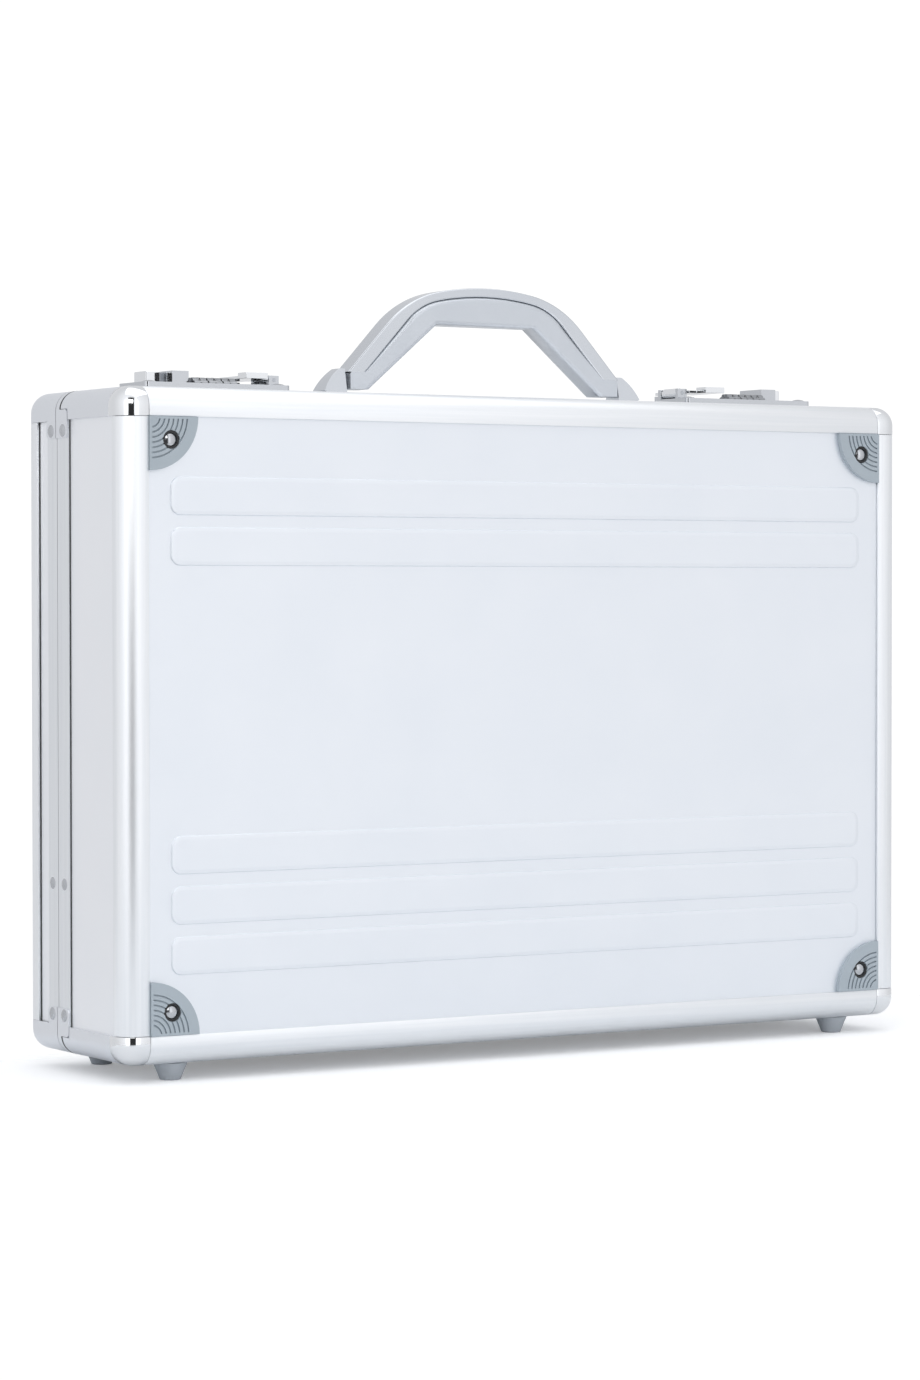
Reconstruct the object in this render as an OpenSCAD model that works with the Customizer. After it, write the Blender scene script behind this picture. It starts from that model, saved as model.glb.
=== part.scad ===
// Aluminium attache case: a deep base shell, a shallow hinged lid, a folding
// top handle and two three-dial combination locks, standing on four feet.
// Origin: middle of the footprint, on the surface the feet stand on.
// +X runs along the width, +Y from the base shell to the lid, +Z up.

/* [Case] */
// Width over the side frames
case_w = 460; // [420:5:560]
// Height over the top and bottom frames, without feet and handle
case_h = 323; // [270:1:390]
// Depth of the base shell, face to seam
base_depth = 71.4; // [66:0.2:100]
// Depth of the lid shell, seam to back face
lid_depth = 35.6; // [33:0.2:60]
// Radius of every outer edge and corner
corner_r = 10; // [9:0.5:10]
// Gap between the two closing rims
seam_gap = 0.4; // [0.3:0.1:0.8]

/* [Frame profiles] */
// Width of the edge profile on the big faces
face_leg = 14.4; // [13:0.2:18]
// Width of the base edge profile on the side walls
base_side_leg = 10.6; // [10.4:0.1:13]
// Thickness of the lips that hold panels and boards
lip_t = 1.6; // [1.2:0.1:2]
// Thickness of the inner webs of the profiles
web_t = 1.2; // [0.8:0.1:1.4]
// Width of the base closing rim
base_rim_w = 12.6; // [11:0.2:14]
// Width of the lid closing rim
lid_rim_w = 10.7; // [10:0.1:12]
// Step from the outer surface down to the rims
rim_inset = 0.8; // [0.6:0.1:1]
// Length of the tongue that enters the base rim
tongue_l = 3; // [2:0.2:3.2]
// Clearance beside the tongue
tongue_play = 0.4; // [0.3:0.1:0.6]

/* [Panels and boards] */
// Thickness of the pressed face sheet
skin_t = 0.8; // [0.6:0.1:1]
// Thickness of the board behind the face sheet
core_t = 3; // [2:0.5:4]
// Thickness of the wall boards
board_t = 3; // [2:0.5:3.5]
// Height of one raised bar on the face
bar_h = 18; // [12:1:20]
// Distance between the bars of a group
bar_pitch = 24; // [22:1:30]
// Height of the lowest bar's centre above the case bottom
bar_first = 52; // [45:1:60]
// How far the bars stand out of the face
bar_rise = 1; // [0.6:0.1:1.2]
// Distance from a bar's end to the side of the case
bar_end = 26.5; // [20:0.5:40]
// Number of bars in the lower group
lower_bars = 3; // [1:1:3]
// Number of bars in the upper group
upper_bars = 2; // [1:1:3]
// Thickness of the lining
lining_t = 1.5; // [1:0.5:2]

/* [Corner guards] */
// Distance of a tab's end from the corner
tab_end = 23; // [21:0.5:26]
// Distance of the tab rivets from the corner
tab_rivet = 19.5; // [18:0.5:20]
// Diameter of the tab rivet heads
tab_rivet_d = 6.5; // [5:0.5:7]
// Radius of the face bumpers
bumper_r = 25.7; // [22:0.1:28]
// Thickness of the face bumpers
bumper_t = 2.6; // [2:0.1:3]
// Distance between two grooves in a bumper
groove_pitch = 2.4; // [2.2:0.1:2.8]
// Number of grooves in a bumper
grooves = 7; // [3:1:7]

/* [Feet] */
// Height of the feet
foot_h = 8.5; // [7:0.5:14]
// Diameter of a foot at the case
foot_top_d = 17; // [14:1:18]
// Diameter of a foot at the floor
foot_tip_d = 10; // [8:1:14]
// Distance of the feet from the side of the case
foot_from_side = 33; // [28:1:45]
// Distance of the base feet from the front face
base_foot_y = 16; // [15.8:0.2:30]
// Distance of the lid feet from the inner border of the back edge frame
lid_foot_from_edge = 2.6; // [2.5:0.1:4]

/* [Handle] */
// Height of the handle above the case top
handle_rise = 57; // [50:1:70]
// Thickness of the handle's grip
grip_t = 14; // [12:0.5:15]
// Thickness of the handle's frame
handle_frame_t = 13; // [11:0.5:14]
// Half length of the handle at its ends
handle_half = 80; // [76:1:90]
// Height of the finger gap above the case top
gap_rise = 37.4; // [32:0.2:42]
// Height of the pivot pins above the case top
pivot_rise = 8; // [8:0.2:9]
// Radius of the pivot pins
pivot_r = 2; // [1.5:0.1:2.4]
// Height of the brackets above the case top
bracket_rise = 14; // [12:0.5:16]
// Distance of the handle's and locks' middle plane from the seam
gear_to_seam = 19.4; // [19.4:0.1:24]

/* [Locks] */
// Length of a lock plate
plate_l = 80; // [78:1:90]
// Width of a lock plate
plate_w = 29.5; // [28:0.5:29.5]
// Height of a lock plate above the case top
plate_rise = 4; // [3.5:0.1:4.5]
// Distance of a lock's middle from the middle of the case
lock_x = 158.5; // [150:0.5:175]
// Radius of a dial
dial_r = 5.5; // [5:0.1:5.6]
// Thickness of a dial
dial_t = 7.4; // [6:0.1:7.6]
// Distance between two dials
dial_pitch = 8; // [7.9:0.1:8.2]
// Radius of the dial shaft
shaft_r = 1.5; // [1.2:0.1:1.8]
// Travel of the release button
button_travel = 4; // [3:0.5:4]

/* [Lid hinge and stays] */
// Length of the hinge
hinge_l = 352; // [300:4:380]
// Number of knuckles
knuckles = 22; // [12:2:30]
// Radius of the hinge knuckles
knuckle_r = 2.2; // [2:0.1:2.4]
// Radius of the hinge pin
hinge_pin_r = 1; // [0.8:0.1:1.2]
// Height of the stay pivots above the case bottom
stay_z = 83.3; // [70:0.1:95]
// Distance of each stay pivot from the seam
stay_y = 6.5; // [6.2:0.1:7]
// Width of a stay link
link_w = 9; // [8:0.5:9]
// Thickness of a stay link
link_t = 1.5; // [1:0.1:1.5]
// Radius of the stay rivets
stay_r = 2; // [1.6:0.1:2.2]

/* [Hidden] */
$fn = 48;

// Clearances
run_play = 0.06;    // pin in its bore
slide_play = 0.3;   // moving piece beside a fixed one
touch_gap = 0.2;    // board in its slot
link_gap = 0.3;     // between two links, and between a link and the rim
open_play = 0.6;    // stay's free pivot on the lid

// Places
depth = base_depth + lid_depth;
y_front = -depth / 2;
y_back = depth / 2;
y_seam = y_front + base_depth;
y_base_end = y_seam - seam_gap / 2;
y_lid_start = y_seam + seam_gap / 2;
z_bot = foot_h;
z_top = foot_h + case_h;
z_mid = foot_h + case_h / 2;
x_half = case_w / 2;
y_gear = y_seam - gear_to_seam;
y_lid_foot = y_back - face_leg - lid_foot_from_edge;

// Depths below the outer surface
board_in = lip_t + board_t;
web_in = board_in + web_t;
core_back = lip_t + skin_t + core_t;
face_web_in = core_back + web_t;
tuck = corner_r;                // where panels and boards end
slot_end = corner_r - touch_gap; // where their slots end
web_reach = 3;                  // how far a web runs along what it holds
side_lining_in = web_in + 1.4;
face_lining_in = face_web_in + 0.2;

// Rims
rim_leg_t = lip_t - rim_inset;
base_head = 6.2;                // solid part of the base rim
lid_head = 4.6;                 // solid part of the lid rim
tongue_in = rim_inset + 1.8;
tongue_t = 1.4;
tongue_from = 20;               // the tongue starts this far above the hinge side
y_base_rim = y_seam - base_rim_w;
y_lid_rim_end = y_seam + lid_rim_w;
rim_joint = corner_r + 4;       // a rim's saw cuts are this far from each corner
rim_cut = 0.3;

// Ends of the base and lid wall boards
y_board = y_front + tuck;
y_board_end = y_base_end - base_head - touch_gap;
y_lid_board = y_lid_start + lid_head + touch_gap;
y_lid_board_end = y_back - tuck;

// Corner caps
base_cap_l = face_leg + 0.1;
lid_cap_l = face_leg + 0.2;

// Base corner rails and rim corners
rail_end = y_base_rim - touch_gap; // end of the full corner rail section
skin_end = y_seam - 4.9;        // end of its thin cover over the rim
band_w = 4.2;                   // rim corner band beside the seam
tab_start = 9.3;                // from the corner
tab_round = 2.5;

// Bumpers
bumper_gap = 0.1;
bumper_margin = 1.2;
groove_w = 0.8;
groove_depth = 0.9;
groove_first = 5.4;
bumper_hole = [11.4, 11];
bumper_hole_d = 9;
bumper_rivet_d = 7.4;

// Rivets
head_rise = 1;
stay_head_r = 3;
tab_shank_r = 1.6;
bumper_shank_r = 1.4;
y_tab = y_seam - 7.4;
y_lid_tab = y_seam + 5.6;

// Feet
base_pad_r = 4.9;               // pad that meets the base wall
stem_r = 2.3;                   // stem through the wall
barb_r = 3.1;
barb_rise = 1.6;

// Hinge
hinge_drop = knuckle_r - rim_inset + 0.3;
z_hinge = z_bot - hinge_drop;
leaf_t = 1;
leaf_w = 10.4;
knuckle_l = hinge_l / knuckles;
knuckle_play = 0.3;

// Stays: each link is as long as the distance from the hinge to a stay pivot,
// so the hinge, the two pivots and the elbow always make a rhombus.
stay_up = stay_z + hinge_drop;
link_l = norm([stay_y, stay_up]);
z_stay = z_bot + stay_z;
z_elbow = z_hinge + 2 * stay_up;
lower_in = web_in + link_gap;
upper_in = lower_in + link_t + link_gap;

// Handle outline, heights above the case top
crown_r = 145;
crown_a = 11;
shoulder_r = 56;
shoulder_a = 47.4;
band_top_t = 4.6;
band_shoulder_r = 34;
gap_half = 29;
frame_end_rise = 12.4;
grip_foot_rise = 3.8;
leg_foot = [68.7, grip_foot_rise];
arc_steps = 10;

// Brackets
bracket_gap = 1.5;
bracket_l = 13.5;
bracket_t = 13;
bracket_top_t = 7.4;            // fins are thinner at the top
bracket_plate_t = 1.2;
bracket_plate_in = 64;
pin_reach = 11;

// Locks, lengths along X from the lock's middle
plate_drop = lip_t;             // plate underside on the wall board
wall_mount_r = 2;               // shank of the mounting rivets
wall_head_r = 4;
rivet_inset_x = 4.5;
rivet_inset_y = 5;
dial_y = y_gear - 8;
dial_up = 1.5;                  // dial axis above the case top
dials = 3;
dial_window = dials * dial_pitch + 0.8;
dial_off = 0.4;
window_x = [dial_off - dial_window / 2, dial_off + dial_window / 2];
block_x = [window_x[1] + 0.2, window_x[1] + 9.2];
block_w = 20;
block_rise = 10;
button_x = [block_x[1] + 1.5, block_x[1] + 9.5];
button_w = 13.2;
button_y = y_gear + 1.4;
stem_l = 5;
stem_w = 5;
case_t = 0.8;
case_drop = 2.2;
hasp_x = window_x[0] - 24;      // hasp hinge from the lock's middle
hasp_up = 7;                    // hasp hinge above the case top
hasp_pin_r = 1;
barrel_r = 2.6;
barrel_y = [-2, 11];            // from the gear plane
lug_t = 2.5;
lug_rise = 9.2;
lever_x = [hasp_x + 3.7, window_x[0] - 3.5];
lever_t = 1.5;
cap_x = [lever_x[1] - 12, lever_x[1]];
cap_w = 9;
cap_rise = 10;
arm_x = [lever_x[0] + 1.3, lever_x[1] - 2.5];
arm_past_seam = 8.6;
strike_x = [arm_x[0] + 1, arm_x[1] - 1];
strike_y = [0.2, 10.6];         // from the seam
strike_gap = 0.4;

aluminium = "#dfe2e6";
frame_metal = "#eceef1";
chrome = "#c9ccd0";
nickel = "#d2d5d9";
bumper_grey = "#9aa7ad";
rubber_grey = "#9fa4a8";
handle_grey = "#c3c8ce";
lining_grey = "#4a4d52";

// ---------- shared shapes ----------

// 2D rectangle about the origin with round corners
module rounded(w, h, r) {
    square([w - 2 * r, h], center = true);
    square([w, h - 2 * r], center = true);
    for (x = [-1, 1], y = [-1, 1])
        translate([x * (w / 2 - r), y * (h / 2 - r)])
            circle(r);
}

// 2D outline of the case in X and Z, moved inward by u
module outline(u) {
    translate([0, z_mid])
        rounded(case_w - 2 * u, case_h - 2 * u, corner_r - u);
}

// Extrudes an X-Z outline from y0 to y1
module slab_y(y0, y1) {
    translate([0, y1, 0])
        rotate([90, 0, 0])
            linear_extrude(y1 - y0)
                children();
}

// Band that runs round the case between two depths below its surface
module ring(u0, u1, y0, y1) {
    slab_y(y0, y1)
        difference() {
            outline(u0);
            outline(u1);
        }
}

// Box from its lowest to its highest corner
module span(low, high) {
    translate(low)
        cube(high - low);
}

// Repeats the left bottom corner at all four corners
module four_corners() {
    for (mx = [0, 1], mz = [0, 1])
        translate([0, 0, z_mid])
            mirror([mx, 0, 0])
                mirror([0, 0, mz])
                    translate([0, 0, -z_mid])
                        children();
}

// Repeats the right half on the left
module both_sides() {
    children();
    mirror([1, 0, 0])
        children();
}

// Cylinder along +X from x0 to x1
module rod_x(x0, x1, r, y, z) {
    translate([x0, y, z])
        rotate([0, 90, 0])
            cylinder(h = x1 - x0, r = r);
}

// Cylinder along +Y from y0 to y1
module rod_y(y0, y1, r, x, z) {
    translate([x, y0, z])
        rotate([-90, 0, 0])
            cylinder(h = y1 - y0, r = r);
}

// Low round rivet head on the plane z = 0, r wide and rise high
module rivet_head(r, rise) {
    ball = (r * r + rise * rise) / (2 * rise);
    intersection() {
        translate([0, 0, rise - ball])
            sphere(ball);
        cylinder(h = rise, r = r);
    }
}

// ---------- frame profiles ----------

// Edge profile between a big face and a wall. x is the depth below the wall's
// surface and y is the depth below the big face.
module edge_section(side_leg) {
    difference() {
        union() {
            intersection() {
                translate([corner_r, corner_r])
                    circle(corner_r);
                square([corner_r, corner_r]);
            }
            translate([corner_r, 0])
                square([face_leg - corner_r, lip_t]);
            translate([0, corner_r])
                square([lip_t, side_leg - corner_r]);
            translate([slot_end, core_back])
                square([web_reach, web_t]);
            translate([board_in, slot_end])
                square([web_t, web_reach]);
        }
        translate([slot_end, lip_t])
            square([face_leg, core_back - lip_t]);
        translate([lip_t, slot_end])
            square([board_t, face_leg]);
        translate([web_in, face_web_in])
            square([face_leg, face_leg]);
    }
}

// Profile along the depth, between two walls
module corner_section() {
    difference() {
        union() {
            intersection() {
                translate([corner_r, corner_r])
                    circle(corner_r);
                square([corner_r, corner_r]);
            }
            translate([corner_r, 0])
                square([face_leg - corner_r, lip_t]);
            translate([0, corner_r])
                square([lip_t, face_leg - corner_r]);
            translate([slot_end, board_in])
                square([web_reach, web_t]);
            translate([board_in, slot_end])
                square([web_t, web_reach]);
        }
        translate([slot_end, lip_t])
            square([face_leg, board_t]);
        translate([lip_t, slot_end])
            square([board_t, face_leg]);
        translate([web_in, web_in])
            square([face_leg, face_leg]);
    }
}

// Upright bar of edge profile at the left of the base
module edge_left(side_leg, cut) {
    translate([-x_half, y_front, z_bot + cut])
        linear_extrude(case_h - 2 * cut)
            edge_section(side_leg);
}

// Lying bar of edge profile at the bottom of the base
module edge_bottom(side_leg, cut) {
    translate([x_half - cut, y_front, z_bot])
        rotate([0, -90, 0])
            linear_extrude(case_w - 2 * cut)
                edge_section(side_leg);
}

// Turns a bottom piece into a top piece
module to_top() {
    translate([0, 0, z_mid])
        mirror([0, 0, 1])
            translate([0, 0, -z_mid])
                children();
}

// Turns a piece of the base face into one of the lid face
module to_back() {
    mirror([0, 1, 0])
        children();
}

// ---------- panels and boards ----------

// Pressed sheet of a big face with its raised bars
module face_sheet() {
    slab_y(y_front + lip_t, y_front + lip_t + skin_t)
        translate([0, z_mid])
            square([case_w - 2 * tuck, case_h - 2 * tuck], center = true);
    slab_y(y_front + lip_t - bar_rise, y_front + lip_t) {
        for (i = [0 : lower_bars - 1])
            translate([0, z_bot + bar_first + i * bar_pitch])
                rounded(case_w - 2 * bar_end, bar_h, 5);
        for (i = [0 : upper_bars - 1])
            translate([0, z_top - bar_first - i * bar_pitch])
                rounded(case_w - 2 * bar_end, bar_h, 5);
    }
}

// Board behind the face sheet
module face_board() {
    slab_y(y_front + lip_t + skin_t, y_front + core_back)
        translate([0, z_mid])
            square([case_w - 2 * tuck, case_h - 2 * tuck], center = true);
}

// Upright wall board at the left, between two depths
module board_left(y0, y1) {
    span([-x_half + lip_t, y0, z_bot + tuck], [-x_half + board_in, y1, z_top - tuck]);
}

// Lying wall board at the bottom, between two depths
module board_bottom(y0, y1) {
    span([-x_half + tuck, y0, z_bot + lip_t], [x_half - tuck, y1, z_bot + board_in]);
}

// ---------- base shell ----------

module base_face_panel() {
    color(aluminium)
        face_sheet();
}

module base_face_core() {
    color("tan")
        face_board();
}

// Holes and windows of the top wall and rim for the handle and the locks
module top_wall_cuts() {
    both_sides() {
        for (p = mount_points)
            translate([p[0], p[1], z_top - 12])
                cylinder(h = 14, r = wall_mount_r);
        span([lock_x + window_x[0] - 0.4, dial_y - dial_r - 0.6, z_top - 8],
             [lock_x + window_x[1] + 0.4, dial_y + dial_r + 0.6, z_top + 1]);
    }
}

module base_wall_top() {
    color(aluminium)
        difference() {
            to_top()
                board_bottom(y_board, y_board_end);
            top_wall_cuts();
            end_rim_holes(y_tab);
        }
}

module base_wall_bottom() {
    color(aluminium)
        difference() {
            board_bottom(y_board, y_board_end);
            both_sides()
                translate([x_half - foot_from_side, y_front + base_foot_y, z_bot])
                    cylinder(h = board_in + 1, r = stem_r);
            end_rim_holes(y_tab);
        }
}

module base_wall_left() {
    color(aluminium)
        difference() {
            board_left(y_board, y_board_end);
            rim_holes();
        }
}

module base_wall_right() {
    color(aluminium)
        mirror([1, 0, 0])
            difference() {
                board_left(y_board, y_board_end);
                rim_holes();
            }
}

module base_edge_top() {
    color(frame_metal)
        to_top()
            edge_bottom(base_side_leg, base_cap_l);
}

module base_edge_bottom() {
    color(frame_metal)
        edge_bottom(base_side_leg, base_cap_l);
}

module base_edge_left() {
    color(frame_metal)
        edge_left(base_side_leg, base_cap_l);
}

module base_edge_right() {
    color(frame_metal)
        mirror([1, 0, 0])
            edge_left(base_side_leg, base_cap_l);
}

module base_corner_rails() {
    color(frame_metal)
        four_corners() {
            slab_y(y_front + base_cap_l, rail_end)
                translate([-x_half, z_bot])
                    corner_section();
            intersection() {
                ring(0, rim_inset, rail_end - 1, skin_end);
                span([-x_half, rail_end - 1, z_bot],
                     [-x_half + tab_start - touch_gap, skin_end, z_bot + tab_start - touch_gap]);
            }
        }
}

// Solid rounded corner at the origin, its faces moved inward by i, cut to
// l along X and Z and to d along Y
module corner_block(i, l, d) {
    r = corner_r;
    intersection() {
        union() {
            translate([r, r, r]) {
                sphere(r - i);
                cylinder(h = l, r = r - i);
                rotate([0, 90, 0])
                    cylinder(h = l, r = r - i);
                rotate([-90, 0, 0])
                    cylinder(h = d, r = r - i);
            }
            span([i, r, r], [l, d, l]);
            span([r, i, r], [l, d, l]);
            span([r, r, i], [l, d, l]);
        }
        cube([l, d, l]);
    }
}

// Hollow corner cap with walls t thick
module corner_shell(t, l, d) {
    difference() {
        corner_block(0, l, d);
        translate([0.001, 0.001, 0.001])
            corner_block(t, l + 1, d + 1);
    }
}

module base_corner_caps() {
    color(chrome)
        four_corners()
            translate([-x_half, y_front, z_bot])
                corner_shell(lip_t, base_cap_l, base_cap_l);
}

// Through holes in the side rims and walls for the tab and stay rivets
module rim_holes() {
    rod_x(-x_half - 1, -x_half + 12, stay_r, y_seam - stay_y, z_stay);
    for (z = [z_bot + tab_rivet, z_top - tab_rivet])
        rod_x(-x_half - 1, -x_half + 12, tab_shank_r, y_tab, z);
}

module base_rim() {
    color(frame_metal)
        difference() {
            union() {
                ring(rim_inset, lip_t, y_base_rim, y_base_end);
                ring(rim_inset, web_in, y_base_end - base_head, y_base_end);
                ring(board_in, web_in, y_base_rim + 1, y_base_end - base_head);
            }
            ring(tongue_in - tongue_play, tongue_in + tongue_t + tongue_play,
                 y_base_end - tongue_l - tongue_play, y_base_end + 1);
            both_sides()
                rim_holes();
            end_rim_holes(y_tab);
            top_wall_cuts();
            rim_joints();
        }
}

// Saw cuts that part a rim into four lengths and four corner bends, hidden
// behind the corner pieces
module rim_joints() {
    for (x = [-1, 1])
        translate([x * (x_half - rim_joint) - rim_cut / 2, y_front, 0])
            cube([rim_cut, depth, z_top + z_bot]);
    for (z = [z_bot + rim_joint, z_top - rim_joint])
        translate([-x_half - 1, y_front, z - rim_cut / 2])
            cube([case_w + 2, depth, rim_cut]);
}

// Rivet holes in the top and bottom rims at the tabs
module end_rim_holes(y) {
    for (x = [-1, 1], z = [z_bot, z_top])
        translate([x * (x_half - tab_rivet), y, z - 12])
            cylinder(h = 24, r = tab_shank_r);
}

// Two tabs at the left bottom corner, on the rim between y0 and y1, from
// start to the tabs' common end
module tabs(y0, y1, start) {
    w = tab_end - start;
    intersection() {
        ring(0, rim_inset, min(y0, y1), max(y0, y1));
        union() {
            translate([-x_half - 1, 0, 0])
                rotate([90, 0, 90])
                    linear_extrude(rim_inset + 2)
                        translate([y0, z_bot + start])
                            tab_outline(abs(y1 - y0), w, y1 > y0);
            translate([0, 0, z_bot - 1])
                linear_extrude(rim_inset + 2)
                    translate([-x_half + start, y0])
                        rotate([0, 0, 90])
                            mirror([0, 1])
                                tab_outline(abs(y1 - y0), w, y1 > y0);
        }
    }
}

// Tab outline: from 0 along x (forward or backward), w along y, two round
// corners at its start
module tab_outline(l, w, forward) {
    mirror([forward ? 0 : 1, 0])
        difference() {
            square([l, w]);
            translate([0, w])
                corner_cut();
            mirror([0, 1])
                corner_cut();
        }
}

// What a round corner takes off a square one, at the upper left of a shape
module corner_cut() {
    translate([0, -tab_round])
        difference() {
            translate([-1, 0])
                square([tab_round + 1, tab_round + 1]);
            translate([tab_round, 0])
                circle(tab_round);
        }
}

module base_rim_corners() {
    color(nickel)
        difference() {
            four_corners() {
                intersection() {
                    ring(0, rim_inset, y_base_end - band_w, y_base_end);
                    span([-x_half, y_base_end - band_w, z_bot],
                         [-x_half + tab_start + 1, y_base_end, z_bot + tab_start + 1]);
                }
                tabs(y_base_rim + 0.2, y_base_end, tab_start);
            }
            both_sides()
                rim_holes();
            end_rim_holes(y_tab);
        }
}

// Grey quarter disc in a face corner
module bumper() {
    translate([-x_half + face_leg + bumper_gap, 0, z_bot + face_leg + bumper_gap])
        difference() {
            slab_y(y_front + lip_t - bumper_t, y_front + lip_t)
                intersection() {
                    circle(bumper_r);
                    square([bumper_r, bumper_r]);
                }
            slab_y(y_front - 5, y_front + lip_t - bumper_t + groove_depth)
                intersection() {
                    for (i = [0 : grooves - 1])
                        difference() {
                            circle(groove_first + i * groove_pitch + groove_w / 2);
                            circle(groove_first + i * groove_pitch - groove_w / 2);
                        }
                    translate([bumper_margin, bumper_margin])
                        square([bumper_r, bumper_r]);
                }
            rod_y(y_front - 5, y_front + lip_t - 1, bumper_hole_d / 2, bumper_hole[0], bumper_hole[1]);
            rod_y(y_front - 5, y_front + 5, bumper_shank_r, bumper_hole[0], bumper_hole[1]);
        }
}

// Rivet in a bumper's hole
module bumper_rivet() {
    translate([-x_half + face_leg + bumper_gap + bumper_hole[0],
               y_front + lip_t - 1,
               z_bot + face_leg + bumper_gap + bumper_hole[1]])
        rotate([90, 0, 0]) {
            rivet_head(bumper_rivet_d / 2, 1.4);
            translate([0, 0, -1])
                cylinder(h = 1, r = bumper_shank_r);
        }
}

module base_bumpers() {
    color(bumper_grey)
        four_corners()
            bumper();
}

module base_bumper_rivets() {
    color(chrome)
        four_corners()
            bumper_rivet();
}

// Two tab rivets of one corner, on the side face and on the bottom face
module tab_rivets(y) {
    translate([-x_half, y, z_bot + tab_rivet])
        rotate([0, -90, 0])
            tab_rivet_solid();
    translate([-x_half + tab_rivet, y, z_bot])
        rotate([180, 0, 0])
            tab_rivet_solid();
}

module tab_rivet_solid() {
    rivet_head(tab_rivet_d / 2, head_rise);
    translate([0, 0, -web_in])
        cylinder(h = web_in, r = tab_shank_r);
}

module base_rim_rivets() {
    color(nickel)
        four_corners()
            tab_rivets(y_tab);
}

// Push-in rubber foot: tapered body, pad up to the wall, stem and barb
module foot(pad_r) {
    cylinder(h = foot_h, r1 = foot_tip_d / 2, r2 = foot_top_d / 2);
    cylinder(h = foot_h + lip_t, r = pad_r);
    cylinder(h = foot_h + board_in + barb_rise, r = stem_r);
    translate([0, 0, foot_h + board_in])
        cylinder(h = barb_rise, r1 = barb_r, r2 = stem_r);
}

module base_feet() {
    color(rubber_grey)
        both_sides()
            translate([x_half - foot_from_side, y_front + base_foot_y, 0])
                foot(base_pad_r);
}

// Thin tray that lines a shell, open towards the seam
module lining(y_face, y_open) {
    w = case_w - 2 * side_lining_in;
    h = case_h - 2 * side_lining_in;
    difference() {
        slab_y(y_face, y_open)
            translate([0, z_mid])
                rounded(w, h, 4);
        slab_y(y_face + lining_t, y_open + 1)
            translate([0, z_mid])
                rounded(w - 2 * lining_t, h - 2 * lining_t, 4 - lining_t);
    }
}

module base_lining() {
    color(lining_grey)
        lining(y_front + face_lining_in, y_base_rim - touch_gap);
}

// ---------- handle ----------

// Points on an arc about c; angle a is measured from straight up towards +X
function arc(c, r, a0, a1) = [
    for (i = [0 : arc_steps])
        let (a = a0 + (a1 - a0) * i / arc_steps)
            [c[0] + r * sin(a), c[1] + r * cos(a)]
];

// Right half of a bow: crown arc, shoulder arc, then a straight run down to
// the height end_z
function bow(top, r1, r2, end_z) =
    let (c1 = [0, top - r1],
         knee = [c1[0] + r1 * sin(crown_a), c1[1] + r1 * cos(crown_a)],
         c2 = [knee[0] - r2 * sin(crown_a), knee[1] - r2 * cos(crown_a)],
         hip = [c2[0] + r2 * sin(shoulder_a), c2[1] + r2 * cos(shoulder_a)],
         run = (hip[1] - end_z) / tan(shoulder_a))
    concat(arc(c1, r1, 0, crown_a), arc(c2, r2, crown_a, shoulder_a), [[hip[0] + run, end_z]]);

function reversed(p) = [for (i = [len(p) - 1 : -1 : 0]) p[i]];

outer_bow = bow(handle_rise, crown_r, shoulder_r, frame_end_rise);
band_bow = bow(handle_rise - band_top_t, crown_r, band_shoulder_r, frame_end_rise);

// Half outline of the handle's frame band, heights above the case top
module frame_half() {
    polygon(concat(outer_bow, reversed(band_bow)));
}

// Half outline of the grip below the frame band
module grip_half() {
    polygon(concat(band_bow,
        [[handle_half - 0.6, frame_end_rise], [handle_half, frame_end_rise - 1],
         [handle_half, grip_foot_rise], leg_foot, [gap_half, gap_rise], [0, gap_rise]]));
}

// Extrudes a half outline of the handle across its thickness, on both sides
module bow_solid(t) {
    translate([0, 0, z_top])
        slab_y(y_gear - t / 2, y_gear + t / 2) {
            children();
            mirror([1, 0])
                children();
        }
}

module handle_frame() {
    color(handle_grey)
        bow_solid(handle_frame_t)
            frame_half();
}

module handle_grip() {
    color(handle_grey)
        difference() {
            bow_solid(grip_t)
                grip_half();
            both_sides()
                rod_x(handle_half - pin_reach - 0.5, handle_half + 1, pivot_r + run_play,
                      y_gear, z_top + pivot_rise);
        }
}

// Shark fin bracket on its plate, at the right
module handle_bracket() {
    x0 = handle_half + bracket_gap;
    slope = arc([x0 - 12, -9], 27.5, 17, 65);
    difference() {
        union() {
            intersection() {
                translate([0, 0, z_top])
                    slab_y(y_gear - bracket_t / 2, y_gear + bracket_t / 2)
                        intersection() {
                            polygon(concat([[x0 - 12, -9], [x0 - 12, 18]], slope));
                            translate([x0, -lip_t])
                                square([bracket_l, bracket_rise + lip_t]);
                        }
                translate([x0 - 1, y_gear, z_top])
                    rotate([90, 0, 90])
                        linear_extrude(bracket_l + 2)
                            polygon([[-bracket_t / 2 - 1, -lip_t - 1], [bracket_t / 2 + 1, -lip_t - 1],
                                     [bracket_t / 2, 1.2], [bracket_top_t / 2, bracket_rise + 1],
                                     [-bracket_top_t / 2, bracket_rise + 1], [-bracket_t / 2, 1.2]]);
            }
            span([bracket_plate_in, y_gear - bracket_t / 2, z_top - lip_t],
                 [x0 + bracket_l, y_gear + bracket_t / 2, z_top - lip_t + bracket_plate_t]);
        }
        rod_x(x0 - 1, x0 + 5, pivot_r, y_gear, z_top + pivot_rise);
        for (p = bracket_mounts)
            translate([p[0], p[1], z_top - 12])
                cylinder(h = 14, r = wall_mount_r);
    }
}

module handle_bracket_left() {
    color(handle_grey)
        mirror([1, 0, 0])
            handle_bracket();
}

module handle_bracket_right() {
    color(handle_grey)
        handle_bracket();
}

module handle_pins() {
    color(chrome)
        both_sides()
            rod_x(handle_half - pin_reach, handle_half + bracket_gap + 5, pivot_r,
                  y_gear, z_top + pivot_rise);
}

// ---------- locks ----------

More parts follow.
